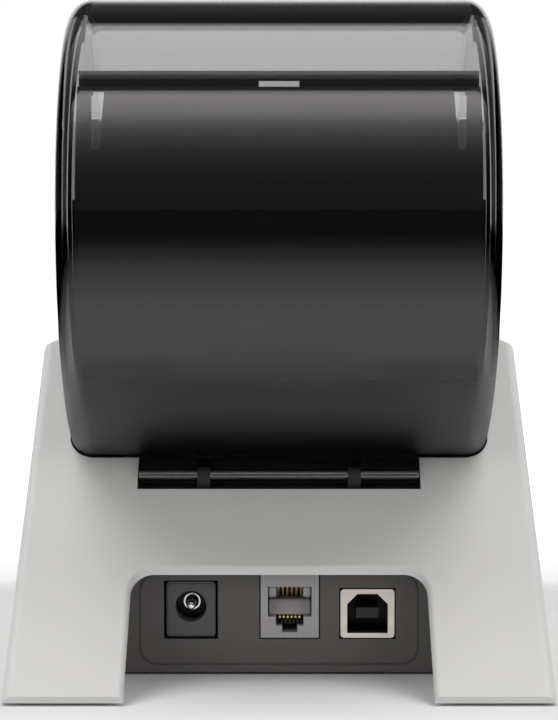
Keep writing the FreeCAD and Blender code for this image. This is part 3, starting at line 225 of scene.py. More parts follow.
def build_drawn_lines():
    """Group with the fine lines that drawing or grinding leaves along one direction of a metal."""
    group = bpy.data.node_groups.new("drawn_lines", "ShaderNodeTree")
    face = group.interface
    face.new_socket("Lines per metre", in_out="INPUT", socket_type="NodeSocketVector")
    face.new_socket("Line depth", in_out="INPUT", socket_type="NodeSocketFloat")
    face.new_socket("Lines", in_out="OUTPUT", socket_type="NodeSocketFloat")
    face.new_socket("Normal", in_out="OUTPUT", socket_type="NodeSocketVector")
    nodes = group.nodes
    links = group.links
    entry = nodes.new("NodeGroupInput")
    leave = nodes.new("NodeGroupOutput")
    place = nodes.new("ShaderNodeTexCoord")
    stretch = nodes.new("ShaderNodeMapping")
    lines = nodes.new("ShaderNodeTexNoise")
    lines.inputs["Scale"].default_value = 1.0
    lines.inputs["Detail"].default_value = 3
    bump = nodes.new("ShaderNodeBump")
    bump.inputs["Distance"].default_value = line_height
    links.new(place.outputs["Object"], stretch.inputs["Vector"])
    links.new(entry.outputs["Lines per metre"], stretch.inputs["Scale"])
    links.new(stretch.outputs["Vector"], lines.inputs["Vector"])
    links.new(entry.outputs["Line depth"], bump.inputs["Strength"])
    links.new(lines.outputs["Fac"], bump.inputs["Height"])
    links.new(lines.outputs["Fac"], leave.inputs["Lines"])
    links.new(bump.outputs["Normal"], leave.inputs["Normal"])
    return group


drawn_lines = build_drawn_lines()


def drawn_metal(
    name, colour, other_colour, roughness, line_axis, lines_per_metre, line_depth, metallic=1.0
):
    """Metal with fine drawn or ground lines along one axis: 0 is X, 1 is Y and 2 is Z."""
    material, tree, shader = start_material(name)
    scale = [lines_per_metre] * 3
    scale[line_axis] = lines_per_metre * line_stretch
    lines = place_group(tree, drawn_lines, {"Lines per metre": scale, "Line depth": line_depth})
    mask = lines.outputs["Lines"]
    gloss = spread(tree, mask, roughness - line_gloss_variation, roughness + line_gloss_variation)
    tree.links.new(two_tone(tree, mask, colour, other_colour), shader.inputs["Base Color"])
    tree.links.new(gloss, shader.inputs["Roughness"])
    tree.links.new(lines.outputs["Normal"], shader.inputs["Normal"])
    shader.inputs["Metallic"].default_value = metallic
    return material


def start_growth(name, sizes):
    """Geometry tree with inputs for places and named sizes, the sockets of these and a node maker."""
    tree = bpy.data.node_groups.new(name, "GeometryNodeTree")
    tree.interface.new_socket("Places", in_out="INPUT", socket_type="NodeSocketGeometry")
    for size in sizes:
        tree.interface.new_socket(size, in_out="INPUT", socket_type="NodeSocketFloat")
    tree.interface.new_socket("Grown", in_out="OUTPUT", socket_type="NodeSocketGeometry")
    entry = tree.nodes.new("NodeGroupInput")

    def node(kind, links=None, values=None, **settings):
        """Adds a node with its links, its plain input values and its settings."""
        made = tree.nodes.new(kind)
        for setting, value in settings.items():
            setattr(made, setting, value)
        for socket, value in (values or {}).items():
            made.inputs[socket].default_value = value
        for socket, source in (links or {}).items():
            tree.links.new(source, made.inputs[socket])
        return made

    return tree, entry.outputs, node


def end_growth(tree, node, places, shape, material):
    """Sets the shape on every place, makes it real and gives it its material."""
    spots = node("GeometryNodeInstanceOnPoints", {"Points": places, "Instance": shape})
    real = node("GeometryNodeRealizeInstances", {"Geometry": spots.outputs["Instances"]})
    painted = node(
        "GeometryNodeSetMaterial",
        {"Geometry": real.outputs["Geometry"]},
        {"Material": material},
    )
    leave = tree.nodes.new("NodeGroupOutput")
    tree.links.new(painted.outputs["Geometry"], leave.inputs["Grown"])


def grow(name, tree, places, sizes):
    """Plain mesh object that the tree grows on the places, with its sizes set by name."""
    mesh = bpy.data.meshes.new(name + "_places")
    mesh.from_pydata(places, [], [])
    piece = bpy.data.objects.new(name, mesh)
    bpy.context.scene.collection.objects.link(piece)
    growth = piece.modifiers.new("growth", "NODES")
    growth.node_group = tree
    for item in tree.interface.items_tree:
        if item.name in sizes:
            growth[item.identifier] = sizes[item.name]
    bpy.context.view_layer.update()
    seen = piece.evaluated_get(bpy.context.evaluated_depsgraph_get())
    grown = bpy.data.meshes.new_from_object(seen)
    piece.modifiers.clear()
    piece.data = grown
    return piece


def build_screw_tree(material):
    """Pan head with a cross cut into it from below, over a shank with a rolled thread."""
    names = ("Head radius", "Length", "Core radius", "Thread radius", "Turns")
    tree, size, node = start_growth("casing_screw", names)
    rim_radius = screw_head_radius - screw_head_rounding
    pan_height = screw_head_height - screw_head_rounding
    rim = node(
        "GeometryNodeMeshCone",
        {"Radius Top": size["Head radius"]},
        {"Vertices": screw_head_sides, "Radius Bottom": rim_radius, "Depth": screw_head_rounding},
    )
    pan = node(
        "GeometryNodeMeshCylinder",
        {"Radius": size["Head radius"]},
        {"Vertices": screw_head_sides, "Depth": pan_height},
    )
    pan_lift = screw_head_rounding + pan_height / 2
    raised = node(
        "GeometryNodeTransform",
        {"Geometry": pan.outputs["Mesh"]},
        {"Translation": (0, 0, pan_lift)},
    )
    head = node("GeometryNodeMeshBoolean", operation="UNION")
    tree.links.new(rim.outputs["Mesh"], head.inputs["Mesh 2"])
    tree.links.new(raised.outputs["Geometry"], head.inputs["Mesh 2"])
    cut = node("GeometryNodeMeshBoolean", {"Mesh 1": head.outputs["Mesh"]}, operation="DIFFERENCE")
    arms = ((cross_length, cross_width, cross_depth), (cross_width, cross_length, cross_other_depth))
    for width_x, width_y, depth in arms:
        bar = node("GeometryNodeMeshCube", None, {"Size": (width_x, width_y, 2 * depth)})
        tree.links.new(bar.outputs["Mesh"], cut.inputs["Mesh 2"])
    core = node(
        "GeometryNodeMeshCylinder",
        {"Radius": size["Core radius"], "Depth": size["Length"]},
        {"Vertices": screw_core_sides},
    )
    core_lift = screw_head_height + screw_length / 2
    shank = node(
        "GeometryNodeTransform",
        {"Geometry": core.outputs["Mesh"]},
        {"Translation": (0, 0, core_lift)},
    )
    helix = node(
        "GeometryNodeCurveSpiral",
        {
            "Rotations": size["Turns"],
            "Start Radius": size["Core radius"],
            "End Radius": size["Core radius"],
            "Height": size["Length"],
        },
        {"Resolution": screw_steps_per_turn},
    )
    lifted = node(
        "GeometryNodeTransform",
        {"Geometry": helix.outputs["Curve"]},
        {"Translation": (0, 0, screw_head_height), "Scale": (1, 1, screw_thread_share)},
    )
    crest = node("ShaderNodeMath", operation="SUBTRACT")
    tree.links.new(size["Thread radius"], crest.inputs[0])
    tree.links.new(size["Core radius"], crest.inputs[1])
    profile = node(
        "GeometryNodeCurvePrimitiveCircle",
        {"Radius": crest.outputs["Value"]},
        {"Resolution": screw_thread_sides},
    )
    thread = node(
        "GeometryNodeCurveToMesh",
        {"Curve": lifted.outputs["Geometry"], "Profile Curve": profile.outputs["Curve"]},
        {"Fill Caps": True},
    )
    whole = node("GeometryNodeJoinGeometry")
    for piece in (cut.outputs["Mesh"], shank.outputs["Geometry"], thread.outputs["Mesh"]):
        tree.links.new(piece, whole.inputs["Geometry"])
    end_growth(tree, node, size["Places"], whole.outputs["Geometry"], material)
    return tree


screw_zinc = drawn_metal(
    "screw_zinc",
    colour=zinc_colour,
    other_colour=zinc_other_colour,
    roughness=0.34,
    line_axis=2,
    lines_per_metre=900.0,
    line_depth=0.2,
)
finish_with(screw_zinc, "board_screws", "mech_screws", "motor_screws")
screw_places = []
for x in (-casing_screw_x, casing_screw_x):
    for y in casing_screw_ys:
        screw_places.append((x, y, casing_screw_low))
casing_screws = grow(
    "casing_screws",
    build_screw_tree(screw_zinc),
    screw_places,
    {
        "Head radius": screw_head_radius,
        "Length": screw_length,
        "Core radius": screw_core_radius,
        "Thread radius": screw_thread_radius,
        "Turns": screw_thread_turns,
    },
)
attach(casing_screws, "base")
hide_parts("case_screws")

# Circuit boards, chips and capacitors
# Glass-fibre boards with copper tracks under green solder mask: the main board and the switch
# board. Chips of black resin and capacitors in shrunk sleeves are soldered to the main board.
mask_colour = (0.010, 0.046, 0.024)
mask_roughness = 0.30
track_colour = (0.018, 0.075, 0.038)
track_roughness = 0.42
track_pitch_per_metre = 420.0
track_share = 0.05
track_height = 0.00004
track_relief = 0.4


def build_board_finish():
    """Solder mask over copper tracks, which show as paler straight runs."""
    material, tree, shader = start_material("board_solder_mask")
    nodes = tree.nodes
    links = tree.links
    place = nodes.new("ShaderNodeTexCoord")
    tracks = nodes.new("ShaderNodeTexBrick")
    tracks.inputs["Scale"].default_value = track_pitch_per_metre
    tracks.inputs["Color1"].default_value = (*mask_colour, 1)
    tracks.inputs["Color2"].default_value = (*mask_colour, 1)
    tracks.inputs["Mortar"].default_value = (*track_colour, 1)
    tracks.inputs["Mortar Size"].default_value = track_share
    bump = nodes.new("ShaderNodeBump")
    bump.inputs["Distance"].default_value = track_height
    bump.inputs["Strength"].default_value = track_relief
    links.new(place.outputs["Object"], tracks.inputs["Vector"])
    links.new(tracks.outputs["Color"], shader.inputs["Base Color"])
    links.new(tracks.outputs["Fac"], bump.inputs["Height"])
    links.new(bump.outputs["Normal"], shader.inputs["Normal"])
    gloss = spread(tree, tracks.outputs["Fac"], mask_roughness, track_roughness)
    links.new(gloss, shader.inputs["Roughness"])
    return material


finish_with(build_board_finish(), "main_board", "button_board")
chip_resin = moulded_plastic(
    "chip_resin",
    colour=(0.020, 0.020, 0.021),
    other_colour=(0.028, 0.028, 0.029),
    roughness=0.6,
    grain_per_metre=5000.0,
    grain_depth=0.15,
    mottle_per_metre=200.0,
)
finish_with(chip_resin, "board_chips")
can_sleeve = moulded_plastic(
    "capacitor_sleeve",
    colour=(0.025, 0.030, 0.060),
    other_colour=(0.032, 0.038, 0.072),
    roughness=0.35,
    grain_per_metre=900.0,
    grain_depth=0.05,
    mottle_per_metre=150.0,
)
finish_with(can_sleeve, "capacitors")

# Power socket
# Black moulded block with a flange round its mouth, a round well, a turned centre pin
# and a spring ring. It is soldered to the board and stands in the panel.
socket_colour = (0.092, 0.087, 0.086)
socket_other_colour = (0.082, 0.078, 0.077)
nickel_colour = (0.86, 0.84, 0.80)
nickel_other_colour = (0.78, 0.76, 0.72)
flange_x = 0.0197
flange_well_z = 0.0154
flange_half_width = 0.00555
flange_low = 0.0086
flange_high = 0.0209
flange_back = 0.0540
flange_front = 0.0548
flange_well_radius = 0.0035
flange_rounding = 0.0005
flange_mid_rounding = 0.00015
flange_steps = 64


def mesh_piece(name, build, material):
    """Mesh object of one material, from a finished bmesh."""
    mesh = bpy.data.meshes.new(name)
    build.to_mesh(mesh)
    build.free()
    mesh.materials.append(material)
    piece = bpy.data.objects.new(name, mesh)
    bpy.context.scene.collection.objects.link(piece)
    return piece


def build_power_flange(material):
    """Rectangular flange with a round opening and a rounded outer edge."""
    build = bmesh.new()

    def ring(y, inset, opening):
        """One closed row of points: on the opening, or on the rectangle set in by a distance."""
        row = []
        for i in range(flange_steps):
            turn = 2 * math.pi * (i + 0.5) / flange_steps
            across = math.cos(turn)
            up = math.sin(turn)
            if opening:
                reach = flange_well_radius
            else:
                end = (flange_high if up > 0 else flange_low) - flange_well_z
                to_side = (flange_half_width - inset) / abs(across)
                to_end = (abs(end) - inset) / abs(up)
                reach = min(to_side, to_end)
            row.append(build.verts.new((flange_x + reach * across, y, flange_well_z + reach * up)))
        return row

    rows = [
        ring(flange_back, 0.0, True),
        ring(flange_back, 0.0, False),
        ring(flange_front - flange_rounding, 0.0, False),
        ring(flange_front - flange_mid_rounding, flange_mid_rounding, False),
        ring(flange_front, flange_rounding, False),
        ring(flange_front, 0.0, True),
    ]
    # Each row joins the one before it, and the first joins the last.
    for k in range(len(rows)):
        for i in range(flange_steps):
            build.faces.new((rows[k - 1][i - 1], rows[k - 1][i], rows[k][i], rows[k][i - 1]))
    bmesh.ops.recalc_face_normals(build, faces=build.faces)
    return mesh_piece("power_socket_flange", build, material)


socket_black = moulded_plastic(
    "socket_black",
    colour=socket_colour,
    other_colour=socket_other_colour,
    roughness=0.42,
    grain_per_metre=2200.0,
    grain_depth=0.10,
    mottle_per_metre=90.0,
)
finish_with(socket_black, "dc_jack")
pin_nickel = drawn_metal(
    "pin_nickel",
    colour=nickel_colour,
    other_colour=nickel_other_colour,
    roughness=0.22,
    line_axis=1,
    lines_per_metre=1500.0,
    line_depth=0.08,
)
finish_with(pin_nickel, "dc_jack_contacts")
power_flange = build_power_flange(socket_black)
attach(power_flange, "base")

# Modular socket
# Grey moulded block with a stepped mouth, soldered to the board. Six gold flashed spring wires
# slope back from its front edge, and a moulded comb at the back keeps their ends apart.
modular_colour = (0.42, 0.41, 0.405)
modular_other_colour = (0.38, 0.37, 0.365)
gold_colour = (0.90, 0.68, 0.34)
gold_other_colour = (0.80, 0.58, 0.26)
wire_count = 6
wire_pitch = 0.00102
wire_middle_x = -0.0024
wire_front_y = 0.0529
wire_top_z = 0.01945
wire_radius = 0.00026
wire_sides = 10
wire_steps = 14
wire_bend_share = 0.45
wire_run_back = 0.0062
wire_drop = 0.0029
wire_nose_drop = 0.0007
wire_end_pitch = 0.00088
wire_end_front_y = 0.0529
wire_end_top_z = 0.01275
wire_end_run_back = 0.0040
wire_end_drop = 0.0012
fin_width = 0.00040
fin_depth = 0.0050
fin_height = 0.0017
fin_slope = 0.35
fin_steps = 5
fin_middle_y = 0.0500
fin_middle_z = 0.01195
ramp_half_width = 0.0047
ramp_outline = ((0.0450, 0.0131), (0.0520, 0.0131), (0.0505, 0.0163), (0.0450, 0.0166))
cheek_inner = 0.0030
cheek_outer = 0.0047
cheek_outline = (
    (0.0450, 0.0170),
    (0.0520, 0.0170),
    (0.0536, 0.0176),
    (0.0536, 0.0197),
    (0.0450, 0.0197),
)
insert_bevel = 0.0002
insert_bevel_steps = 2


def add_prism(build, outline, x0, x1):
    """Adds the closed prism of a Y and Z outline from one X to another."""
    near = [build.verts.new((x0, y, z)) for y, z in outline]
    far = [build.verts.new((x1, y, z)) for y, z in outline]
    build.faces.new(near)
    build.faces.new(far)
    for i in range(len(outline)):
        build.faces.new((near[i - 1], near[i], far[i], far[i - 1]))


def build_socket_insert(material):
    """Ramp at the back of the mouth and the two cheeks that stand beside the wires."""
    build = bmesh.new()
    add_prism(build, ramp_outline, wire_middle_x - ramp_half_width, wire_middle_x + ramp_half_width)
    for side in (-1, 1):
        inner_x = wire_middle_x + side * cheek_inner
        outer_x = wire_middle_x + side * cheek_outer
        add_prism(build, cheek_outline, inner_x, outer_x)
    bmesh.ops.recalc_face_normals(build, faces=build.faces)
    edges = build.edges
    bmesh.ops.bevel(build, geom=edges, offset=insert_bevel, segments=insert_bevel_steps, affect="EDGES")
    return mesh_piece("modular_socket_insert", build, material)


def build_wire_tree(material):
    """Spring wire with a short nose bent down at the front and a long slope to the back."""
    tree, size, node = start_growth("contact_wire", ("Wire radius", "Run back", "Drop", "Nose drop"))
    away = node("ShaderNodeMath", {0: size["Run back"]}, {1: -1.0}, operation="MULTIPLY")
    down = node("ShaderNodeMath", {0: size["Drop"]}, {1: -1.0}, operation="MULTIPLY")
    dip = node("ShaderNodeMath", {0: size["Nose drop"]}, {1: -1.0}, operation="MULTIPLY")
    halfway = node("ShaderNodeMath", {0: away.outputs["Value"]}, {1: wire_bend_share}, operation="MULTIPLY")
    tail = node("ShaderNodeCombineXYZ", {"Y": away.outputs["Value"], "Z": down.outputs["Value"]})
    bend = node("ShaderNodeCombineXYZ", {"Y": halfway.outputs["Value"], "Z": dip.outputs["Value"]})
    run = node(
        "GeometryNodeCurveQuadraticBezier",
        {"Middle": bend.outputs["Vector"], "End": tail.outputs["Vector"]},
        {"Resolution": wire_steps, "Start": (0, 0, 0)},
    )
    section = node(
        "GeometryNodeCurvePrimitiveCircle",
        {"Radius": size["Wire radius"]},
        {"Resolution": wire_sides},
    )
    wire = node(
        "GeometryNodeCurveToMesh",
        {"Curve": run.outputs["Curve"], "Profile Curve": section.outputs["Curve"]},
        {"Fill Caps": True},
    )
    smooth = node("GeometryNodeSetShadeSmooth", {"Geometry": wire.outputs["Mesh"]})
    end_growth(tree, node, size["Places"], smooth.outputs["Geometry"], material)
    return tree


def build_comb_tree(material):
    """Upright fin with a sloped front, one of the row that stands between the wires."""
    tree, size, node = start_growth("comb_fin", ("Fin width", "Fin depth", "Fin height"))
    shape = node(
        "ShaderNodeCombineXYZ",
        {"X": size["Fin width"], "Y": size["Fin depth"], "Z": size["Fin height"]},
    )
    block = node(
        "GeometryNodeMeshCube",
        {"Size": shape.outputs["Vector"]},
        {"Vertices X": 2, "Vertices Y": fin_steps, "Vertices Z": 2},
    )
    place = node("GeometryNodeInputPosition")
    axes = node("ShaderNodeSeparateXYZ", {"Vector": place.outputs["Position"]})
    is_top = node("FunctionNodeCompare", {"A": axes.outputs["Z"]}, {"B": 0.0}, operation="GREATER_THAN")
    fall = node("ShaderNodeMath", {0: axes.outputs["Y"]}, {1: -fin_slope}, operation="MULTIPLY")
    lower = node("ShaderNodeCombineXYZ", {"Z": fall.outputs["Value"]})
    sloped = node(
        "GeometryNodeSetPosition",
        {
            "Geometry": block.outputs["Mesh"],
            "Selection": is_top.outputs["Result"],
            "Offset": lower.outputs["Vector"],
        },
    )
    end_growth(tree, node, size["Places"], sloped.outputs["Geometry"], material)
    return tree


modular_grey = moulded_plastic(
    "modular_socket_grey",
    colour=modular_colour,
    other_colour=modular_other_colour,
    roughness=0.45,
    grain_per_metre=2200.0,
    grain_depth=0.10,
    mottle_per_metre=90.0,
)
finish_with(modular_grey, "modular_jack")
contact_gold = drawn_metal(
    "contact_gold",
    colour=gold_colour,
    other_colour=gold_other_colour,
    roughness=0.42,
    line_axis=1,
    lines_per_metre=2000.0,
    line_depth=0.1,
    metallic=0.5,
)


def in_row(count, pitch, y, z):
    """Places of a row that is centred on the middle of the socket."""
    first = wire_middle_x - pitch * (count - 1) / 2
    return [(first + pitch * i, y, z) for i in range(count)]


insert_black = moulded_plastic(
    "insert_black",
    colour=(0.016, 0.015, 0.015),
    other_colour=(0.022, 0.021, 0.020),
    roughness=0.5,
    grain_per_metre=2600.0,
    grain_depth=0.10,
    mottle_per_metre=120.0,
)
wire_tree = build_wire_tree(contact_gold)
socket_wires = grow(
    "modular_socket_wires",
    wire_tree,
    in_row(wire_count, wire_pitch, wire_front_y, wire_top_z),
    {"Wire radius": wire_radius, "Run back": wire_run_back, "Drop": wire_drop, "Nose drop": wire_nose_drop},
)
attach(socket_wires, "base")
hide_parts("modular_jack_contacts")
wire_ends = grow(
    "modular_socket_wire_ends",
    wire_tree,
    in_row(wire_count, wire_end_pitch, wire_end_front_y, wire_end_top_z),
    {"Wire radius": wire_radius, "Run back": wire_end_run_back, "Drop": wire_end_drop, "Nose drop": 0.0},
)
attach(wire_ends, "base")
socket_comb = grow(
    "modular_socket_comb",
    build_comb_tree(insert_black),
    in_row(wire_count + 1, wire_end_pitch, fin_middle_y, fin_middle_z),
    {"Fin width": fin_width, "Fin depth": fin_depth, "Fin height": fin_height},
)
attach(socket_comb, "base")
socket_insert = build_socket_insert(modular_grey)
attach(socket_insert, "base")

# Square data socket
# Shell folded from nickel plated sheet, round a black moulded insert with a central tongue.
# The shell is soldered to the board by tabs, and its mouth stands in the panel.
shell_nickel = drawn_metal(
    "shell_nickel",
    colour=(0.78, 0.72, 0.66),
    other_colour=(0.72, 0.66, 0.60),
    roughness=0.33,
    line_axis=0,
    lines_per_metre=1200.0,
    line_depth=0.12,
)
finish_with(shell_nickel, "data_jack_shell")
finish_with(insert_black, "data_jack_insert")

# Hood
# The cover over the label roll: one moulding of smoked clear plastic that turns on the rear hinge.
# It is polished on both faces, apart from a satin band along the lower edge of its drum.
smoke_colour = (0.46, 0.45, 0.47)
smoke_density = 290.0
smear_per_metre = 60.0
polish_roughness = 0.002
smear_roughness = 0.03
satin_roughness = 0.42
barrels_below = 0.0452
satin_from = 0.0475
satin_until = 0.056
polished_above = 0.080
mirror_tint = (1.0, 0.955, 0.965)
smoke_refraction = 1.58


def work_out(tree, operation, *terms):
    """Result of one calculation in a shader tree, whose terms are sockets or plain numbers."""
    node = tree.nodes.new("ShaderNodeMath")
    node.operation = operation
    for i, term in enumerate(terms):
        if isinstance(term, float):
            node.inputs[i].default_value = term
        else:
            tree.links.new(term, node.inputs[i])
    return node.outputs["Value"]


def build_smoked_plastic():
    """Clear smoked plastic with faint smears, polished above and satin along its hinge edge."""
    material, tree, shader = start_material("smoked_hood_plastic")
    nodes = tree.nodes
    links = tree.links
    place = nodes.new("ShaderNodeTexCoord")
    smears = nodes.new("ShaderNodeTexNoise")
    smears.inputs["Scale"].default_value = smear_per_metre
    smears.inputs["Detail"].default_value = 5
    links.new(place.outputs["Object"], smears.inputs["Vector"])
    split = nodes.new("ShaderNodeSeparateXYZ")
    links.new(place.outputs["Object"], split.inputs["Vector"])
    height = split.outputs["Z"]
    polish = spread(tree, smears.outputs["Fac"], polish_roughness, smear_roughness)
    satin = spread(tree, height, satin_roughness, 0.0, low=satin_until, high=polished_above, smooth=True)
    above_barrels = spread(tree, height, 0.0, 1.0, low=barrels_below, high=satin_from)
    gloss = work_out(tree, "MULTIPLY_ADD", satin, above_barrels, polish)
    links.new(gloss, shader.inputs["Roughness"])
    shader.inputs["Base Color"].default_value = (1.0, 1.0, 1.0, 1.0)
    shader.inputs["Specular Tint"].default_value = (*mirror_tint, 1.0)
    shader.inputs["Transmission Weight"].default_value = 1.0
    shader.inputs["IOR"].default_value = smoke_refraction
    smoke = nodes.new("ShaderNodeVolumeAbsorption")
    smoke.inputs["Color"].default_value = (*smoke_colour, 1)
    smoke.inputs["Density"].default_value = smoke_density
    links.new(smoke.outputs["Volume"], nodes["Material Output"].inputs["Volume"])
    return material


finish_with(build_smoked_plastic(), "hood")

# Hood shade skin
# Painted shade: a thin matt black skin just inside the hood, a band across the top of the drum and a narrow
# crescent on each side wall.
# It stands in for the dark that the hood's roof and side walls show, frames the clear window and hides the
# rim of the liner.
mask_thickness = 0.0001
mask_lift = 0.00005
mask_top_half_width = 0.0458
mask_side_x = 0.04625
mask_side_depth = 0.0040
mask_corner = 0.003
mask_top_steps = 24
mask_side_steps = 48
inner_upper_radius = 0.0473
inner_lower_radius = 0.0585
upper_centre_y = 0.0197
lower_centre_y = 0.0085
drum_centre_z = 0.1039
mask_roof_front = 0.003
drum_top_degrees = 90.0
mask_top_end_degrees = 65.0
mask_low_degrees = -52.0
# Colour of the painted shade skin: near black, with a slightly lighter random tone.
painted_shade_colour = (0.012, 0.012, 0.013)
painted_shade_other_colour = (0.017, 0.017, 0.018)


def drum_point(degrees, inset):
    """Y and Z of the drum's inner skin at an angle above the rear, set in by a distance."""
    turn = math.radians(degrees)
    if degrees > 0:
        centre, radius = upper_centre_y, inner_upper_radius - inset
    else:
        centre, radius = lower_centre_y, inner_lower_radius - inset
    return centre + radius * math.cos(turn), drum_centre_z + radius * math.sin(turn)


def add_ribbon(build, outer, inner, x0, x1):
    """Adds the closed strip between two rows of Y and Z points, from one X to another."""
    rows = []
    for x in (x0, x1):
        rows.append([build.verts.new((x, y, z)) for y, z in outer])
        rows.append([build.verts.new((x, y, z)) for y, z in inner])
    near_outer, near_inner, far_outer, far_inner = rows
    for i in range(len(outer) - 1):
        for first, second in (
            (near_outer, near_inner),
            (near_inner, far_inner),
            (far_inner, far_outer),
            (far_outer, near_outer),
        ):
            build.faces.new((first[i], first[i + 1], second[i + 1], second[i]))
    for i in (0, -1):
        build.faces.new((near_outer[i], near_inner[i], far_inner[i], far_outer[i]))


def build_hood_painted_shade(material):
    """Thin skin of painted shade just inside the hood: the top band and the two side crescents."""
    build = bmesh.new()
    top_outer = [(mask_roof_front, drum_centre_z + inner_upper_radius - mask_lift)]
    top_inner = [(mask_roof_front, drum_centre_z + inner_upper_radius - mask_lift - mask_thickness)]
    for i in range(mask_top_steps + 1):
        degrees = drum_top_degrees + (mask_top_end_degrees - drum_top_degrees) * i / mask_top_steps
        top_outer.append(drum_point(degrees, mask_lift))
        top_inner.append(drum_point(degrees, mask_lift + mask_thickness))
    add_ribbon(build, top_outer, top_inner, -mask_top_half_width, mask_top_half_width)
    for side in (-1, 1):
        outer = []
        inner = []
        for i in range(mask_side_steps + 1):
            degrees = drum_top_degrees + (mask_low_degrees - drum_top_degrees) * i / mask_side_steps
            outer.append(drum_point(degrees, mask_corner))
            inner.append(drum_point(degrees, mask_corner + mask_side_depth))
        near = side * (mask_side_x - mask_lift - mask_thickness)
        add_ribbon(build, outer, inner, near, side * (mask_side_x - mask_lift))
    bmesh.ops.recalc_face_normals(build, faces=build.faces)
    return mesh_piece("hood_painted_shade", build, material)


# Matt black with almost no gloss, so the skin shows as painted shade along the top and sides of the hood.
shade_skin_black = moulded_plastic(
    "painted_shade_black",
    colour=painted_shade_colour,
    other_colour=painted_shade_other_colour,
    roughness=0.9,
    grain_per_metre=4000.0,
    grain_depth=0.10,
    mottle_per_metre=80.0,
    specular=0.05,
)
hood_painted_shade = build_hood_painted_shade(shade_skin_black)
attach(hood_painted_shade, "hood")

# Hood liner, roll tub and hinge bracket
# Black satin mouldings: the band clipped inside the hood, the trough that holds the roll,
# and the bracket with the hinge knuckles in the notch of the casing.
satin_black = moulded_plastic(
    "satin_black_plastic",
    colour=(0.030, 0.028, 0.028),
    other_colour=(0.026, 0.024, 0.024),
    roughness=0.52,
    grain_per_metre=1500.0,
    grain_depth=0.06,
    mottle_per_metre=30.0,
)
finish_with(satin_black, "hood_liner", "roll_tub")
finish_with(insert_black, "hinge_bracket")

# Label spool and head carrier
# Grey mouldings: the hollow core with its fixed flange, the loose flange that slides on after
# the roll, and the carrier that swings on a pin and holds the print head.
spool_grey = moulded_plastic(
    "spool_grey",
    colour=(0.20, 0.20, 0.205),
    other_colour=(0.175, 0.175, 0.18),
    roughness=0.48,
    grain_per_metre=1800.0,
    grain_depth=0.12,
    mottle_per_metre=60.0,
)
finish_with(spool_grey, "spool_core", "spool_flange", "head_carrier")

# Steel of the mechanism
# Pins, shafts and the saw-edged tear bar are ground from bar. The two cheeks, the leaf springs
# and the motor's can are bent or drawn from sheet, and screwed or pressed in place.
ground_steel = drawn_metal(
    "ground_steel",
    colour=(0.62, 0.61, 0.60),
    other_colour=(0.52, 0.51, 0.50),
    roughness=0.30,
    line_axis=0,
    lines_per_metre=1400.0,
    line_depth=0.15,
)
finish_with(ground_steel, "hinge_pin", "platen_shaft", "motor_shaft", "head_pivot_pin")
finish_with(ground_steel, "upper_idler_stud", "lower_idler_stud", "tear_bar")
sheet_steel = drawn_metal(
    "sheet_steel",
    colour=(0.58, 0.58, 0.59),
    other_colour=(0.50, 0.50, 0.51),
    roughness=0.38,
    line_axis=2,
    lines_per_metre=700.0,
    line_depth=0.2,
)
finish_with(sheet_steel, "mech_plate_left", "mech_plate_right", "head_springs", "motor")

# Platen roller and gears
# The roller that feeds the labels is black rubber, moulded on a steel shaft and ground round.
# It turns in acetal bushes, and a cut brass pinion drives it through moulded acetal gears.
platen_rubber = moulded_plastic(
    "platen_rubber",
    colour=(0.028, 0.028, 0.028),
    other_colour=(0.040, 0.040, 0.039),
    roughness=0.7,
    grain_per_metre=3000.0,
    grain_depth=0.2,
    mottle_per_metre=150.0,
)
finish_with(platen_rubber, "platen_roller")
acetal = moulded_plastic(
    "gear_acetal",
    colour=(0.78, 0.77, 0.73),
    other_colour=(0.72, 0.71, 0.66),
    roughness=0.38,
    grain_per_metre=1200.0,
    grain_depth=0.05,
    mottle_per_metre=80.0,
)
finish_with(acetal, "platen_gear", "upper_idler_gear", "lower_idler_gear", "platen_bushes")
pinion_brass = drawn_metal(
    "pinion_brass",
    colour=(0.80, 0.62, 0.32),
    other_colour=(0.70, 0.52, 0.25),
    roughness=0.3,
    line_axis=0,
    lines_per_metre=1500.0,
    line_depth=0.15,
)
finish_with(pinion_brass, "motor_pinion")

# Print head
# Ceramic bar that prints by heat, fired with a glaze over a fine heater line.
# It is glued to the carrier, which presses it on the platen.
head_ceramic = moulded_plastic(
    "head_ceramic",
    colour=(0.70, 0.66, 0.58),
    other_colour=(0.64, 0.60, 0.52),
    roughness=0.3,
    grain_per_metre=2500.0,
    grain_depth=0.05,
    mottle_per_metre=100.0,
)
finish_with(head_ceramic, "print_head")

# Buttons and status light
# Two grey moulded keys and a light pipe of clear green plastic.
# They stand in openings of the front cover, over the switch board.
light_pipe_colour = (0.10, 0.55, 0.16)
light_pipe_other_colour = (0.20, 0.72, 0.26)
light_pipe_clearness = 0.6
light_pipe_roughness = 0.08
light_pipe_flow_roughness = 0.2
light_pipe_flow_per_metre = 900.0

key_grey = moulded_plastic(
    "key_grey",
    colour=(0.235, 0.235, 0.240),
    other_colour=(0.205, 0.205, 0.210),
    roughness=0.5,
    grain_per_metre=2600.0,
    grain_depth=0.12,
    mottle_per_metre=90.0,
)
finish_with(key_grey, "feed_button", "power_button")


def build_light_pipe():
    """Tinted clear rod with faint flow lines from moulding."""
    material, tree, shader = start_material("green_light_pipe")
    nodes = tree.nodes
    links = tree.links
    place = nodes.new("ShaderNodeTexCoord")
    flow = nodes.new("ShaderNodeTexNoise")
    flow.inputs["Scale"].default_value = light_pipe_flow_per_metre
    links.new(place.outputs["Object"], flow.inputs["Vector"])
    tint = two_tone(tree, flow.outputs["Fac"], light_pipe_colour, light_pipe_other_colour)
    gloss = spread(tree, flow.outputs["Fac"], light_pipe_roughness, light_pipe_flow_roughness)
    links.new(tint, shader.inputs["Base Color"])
    links.new(gloss, shader.inputs["Roughness"])
    shader.inputs["Transmission Weight"].default_value = light_pipe_clearness
    return material


finish_with(build_light_pipe(), "status_lens")

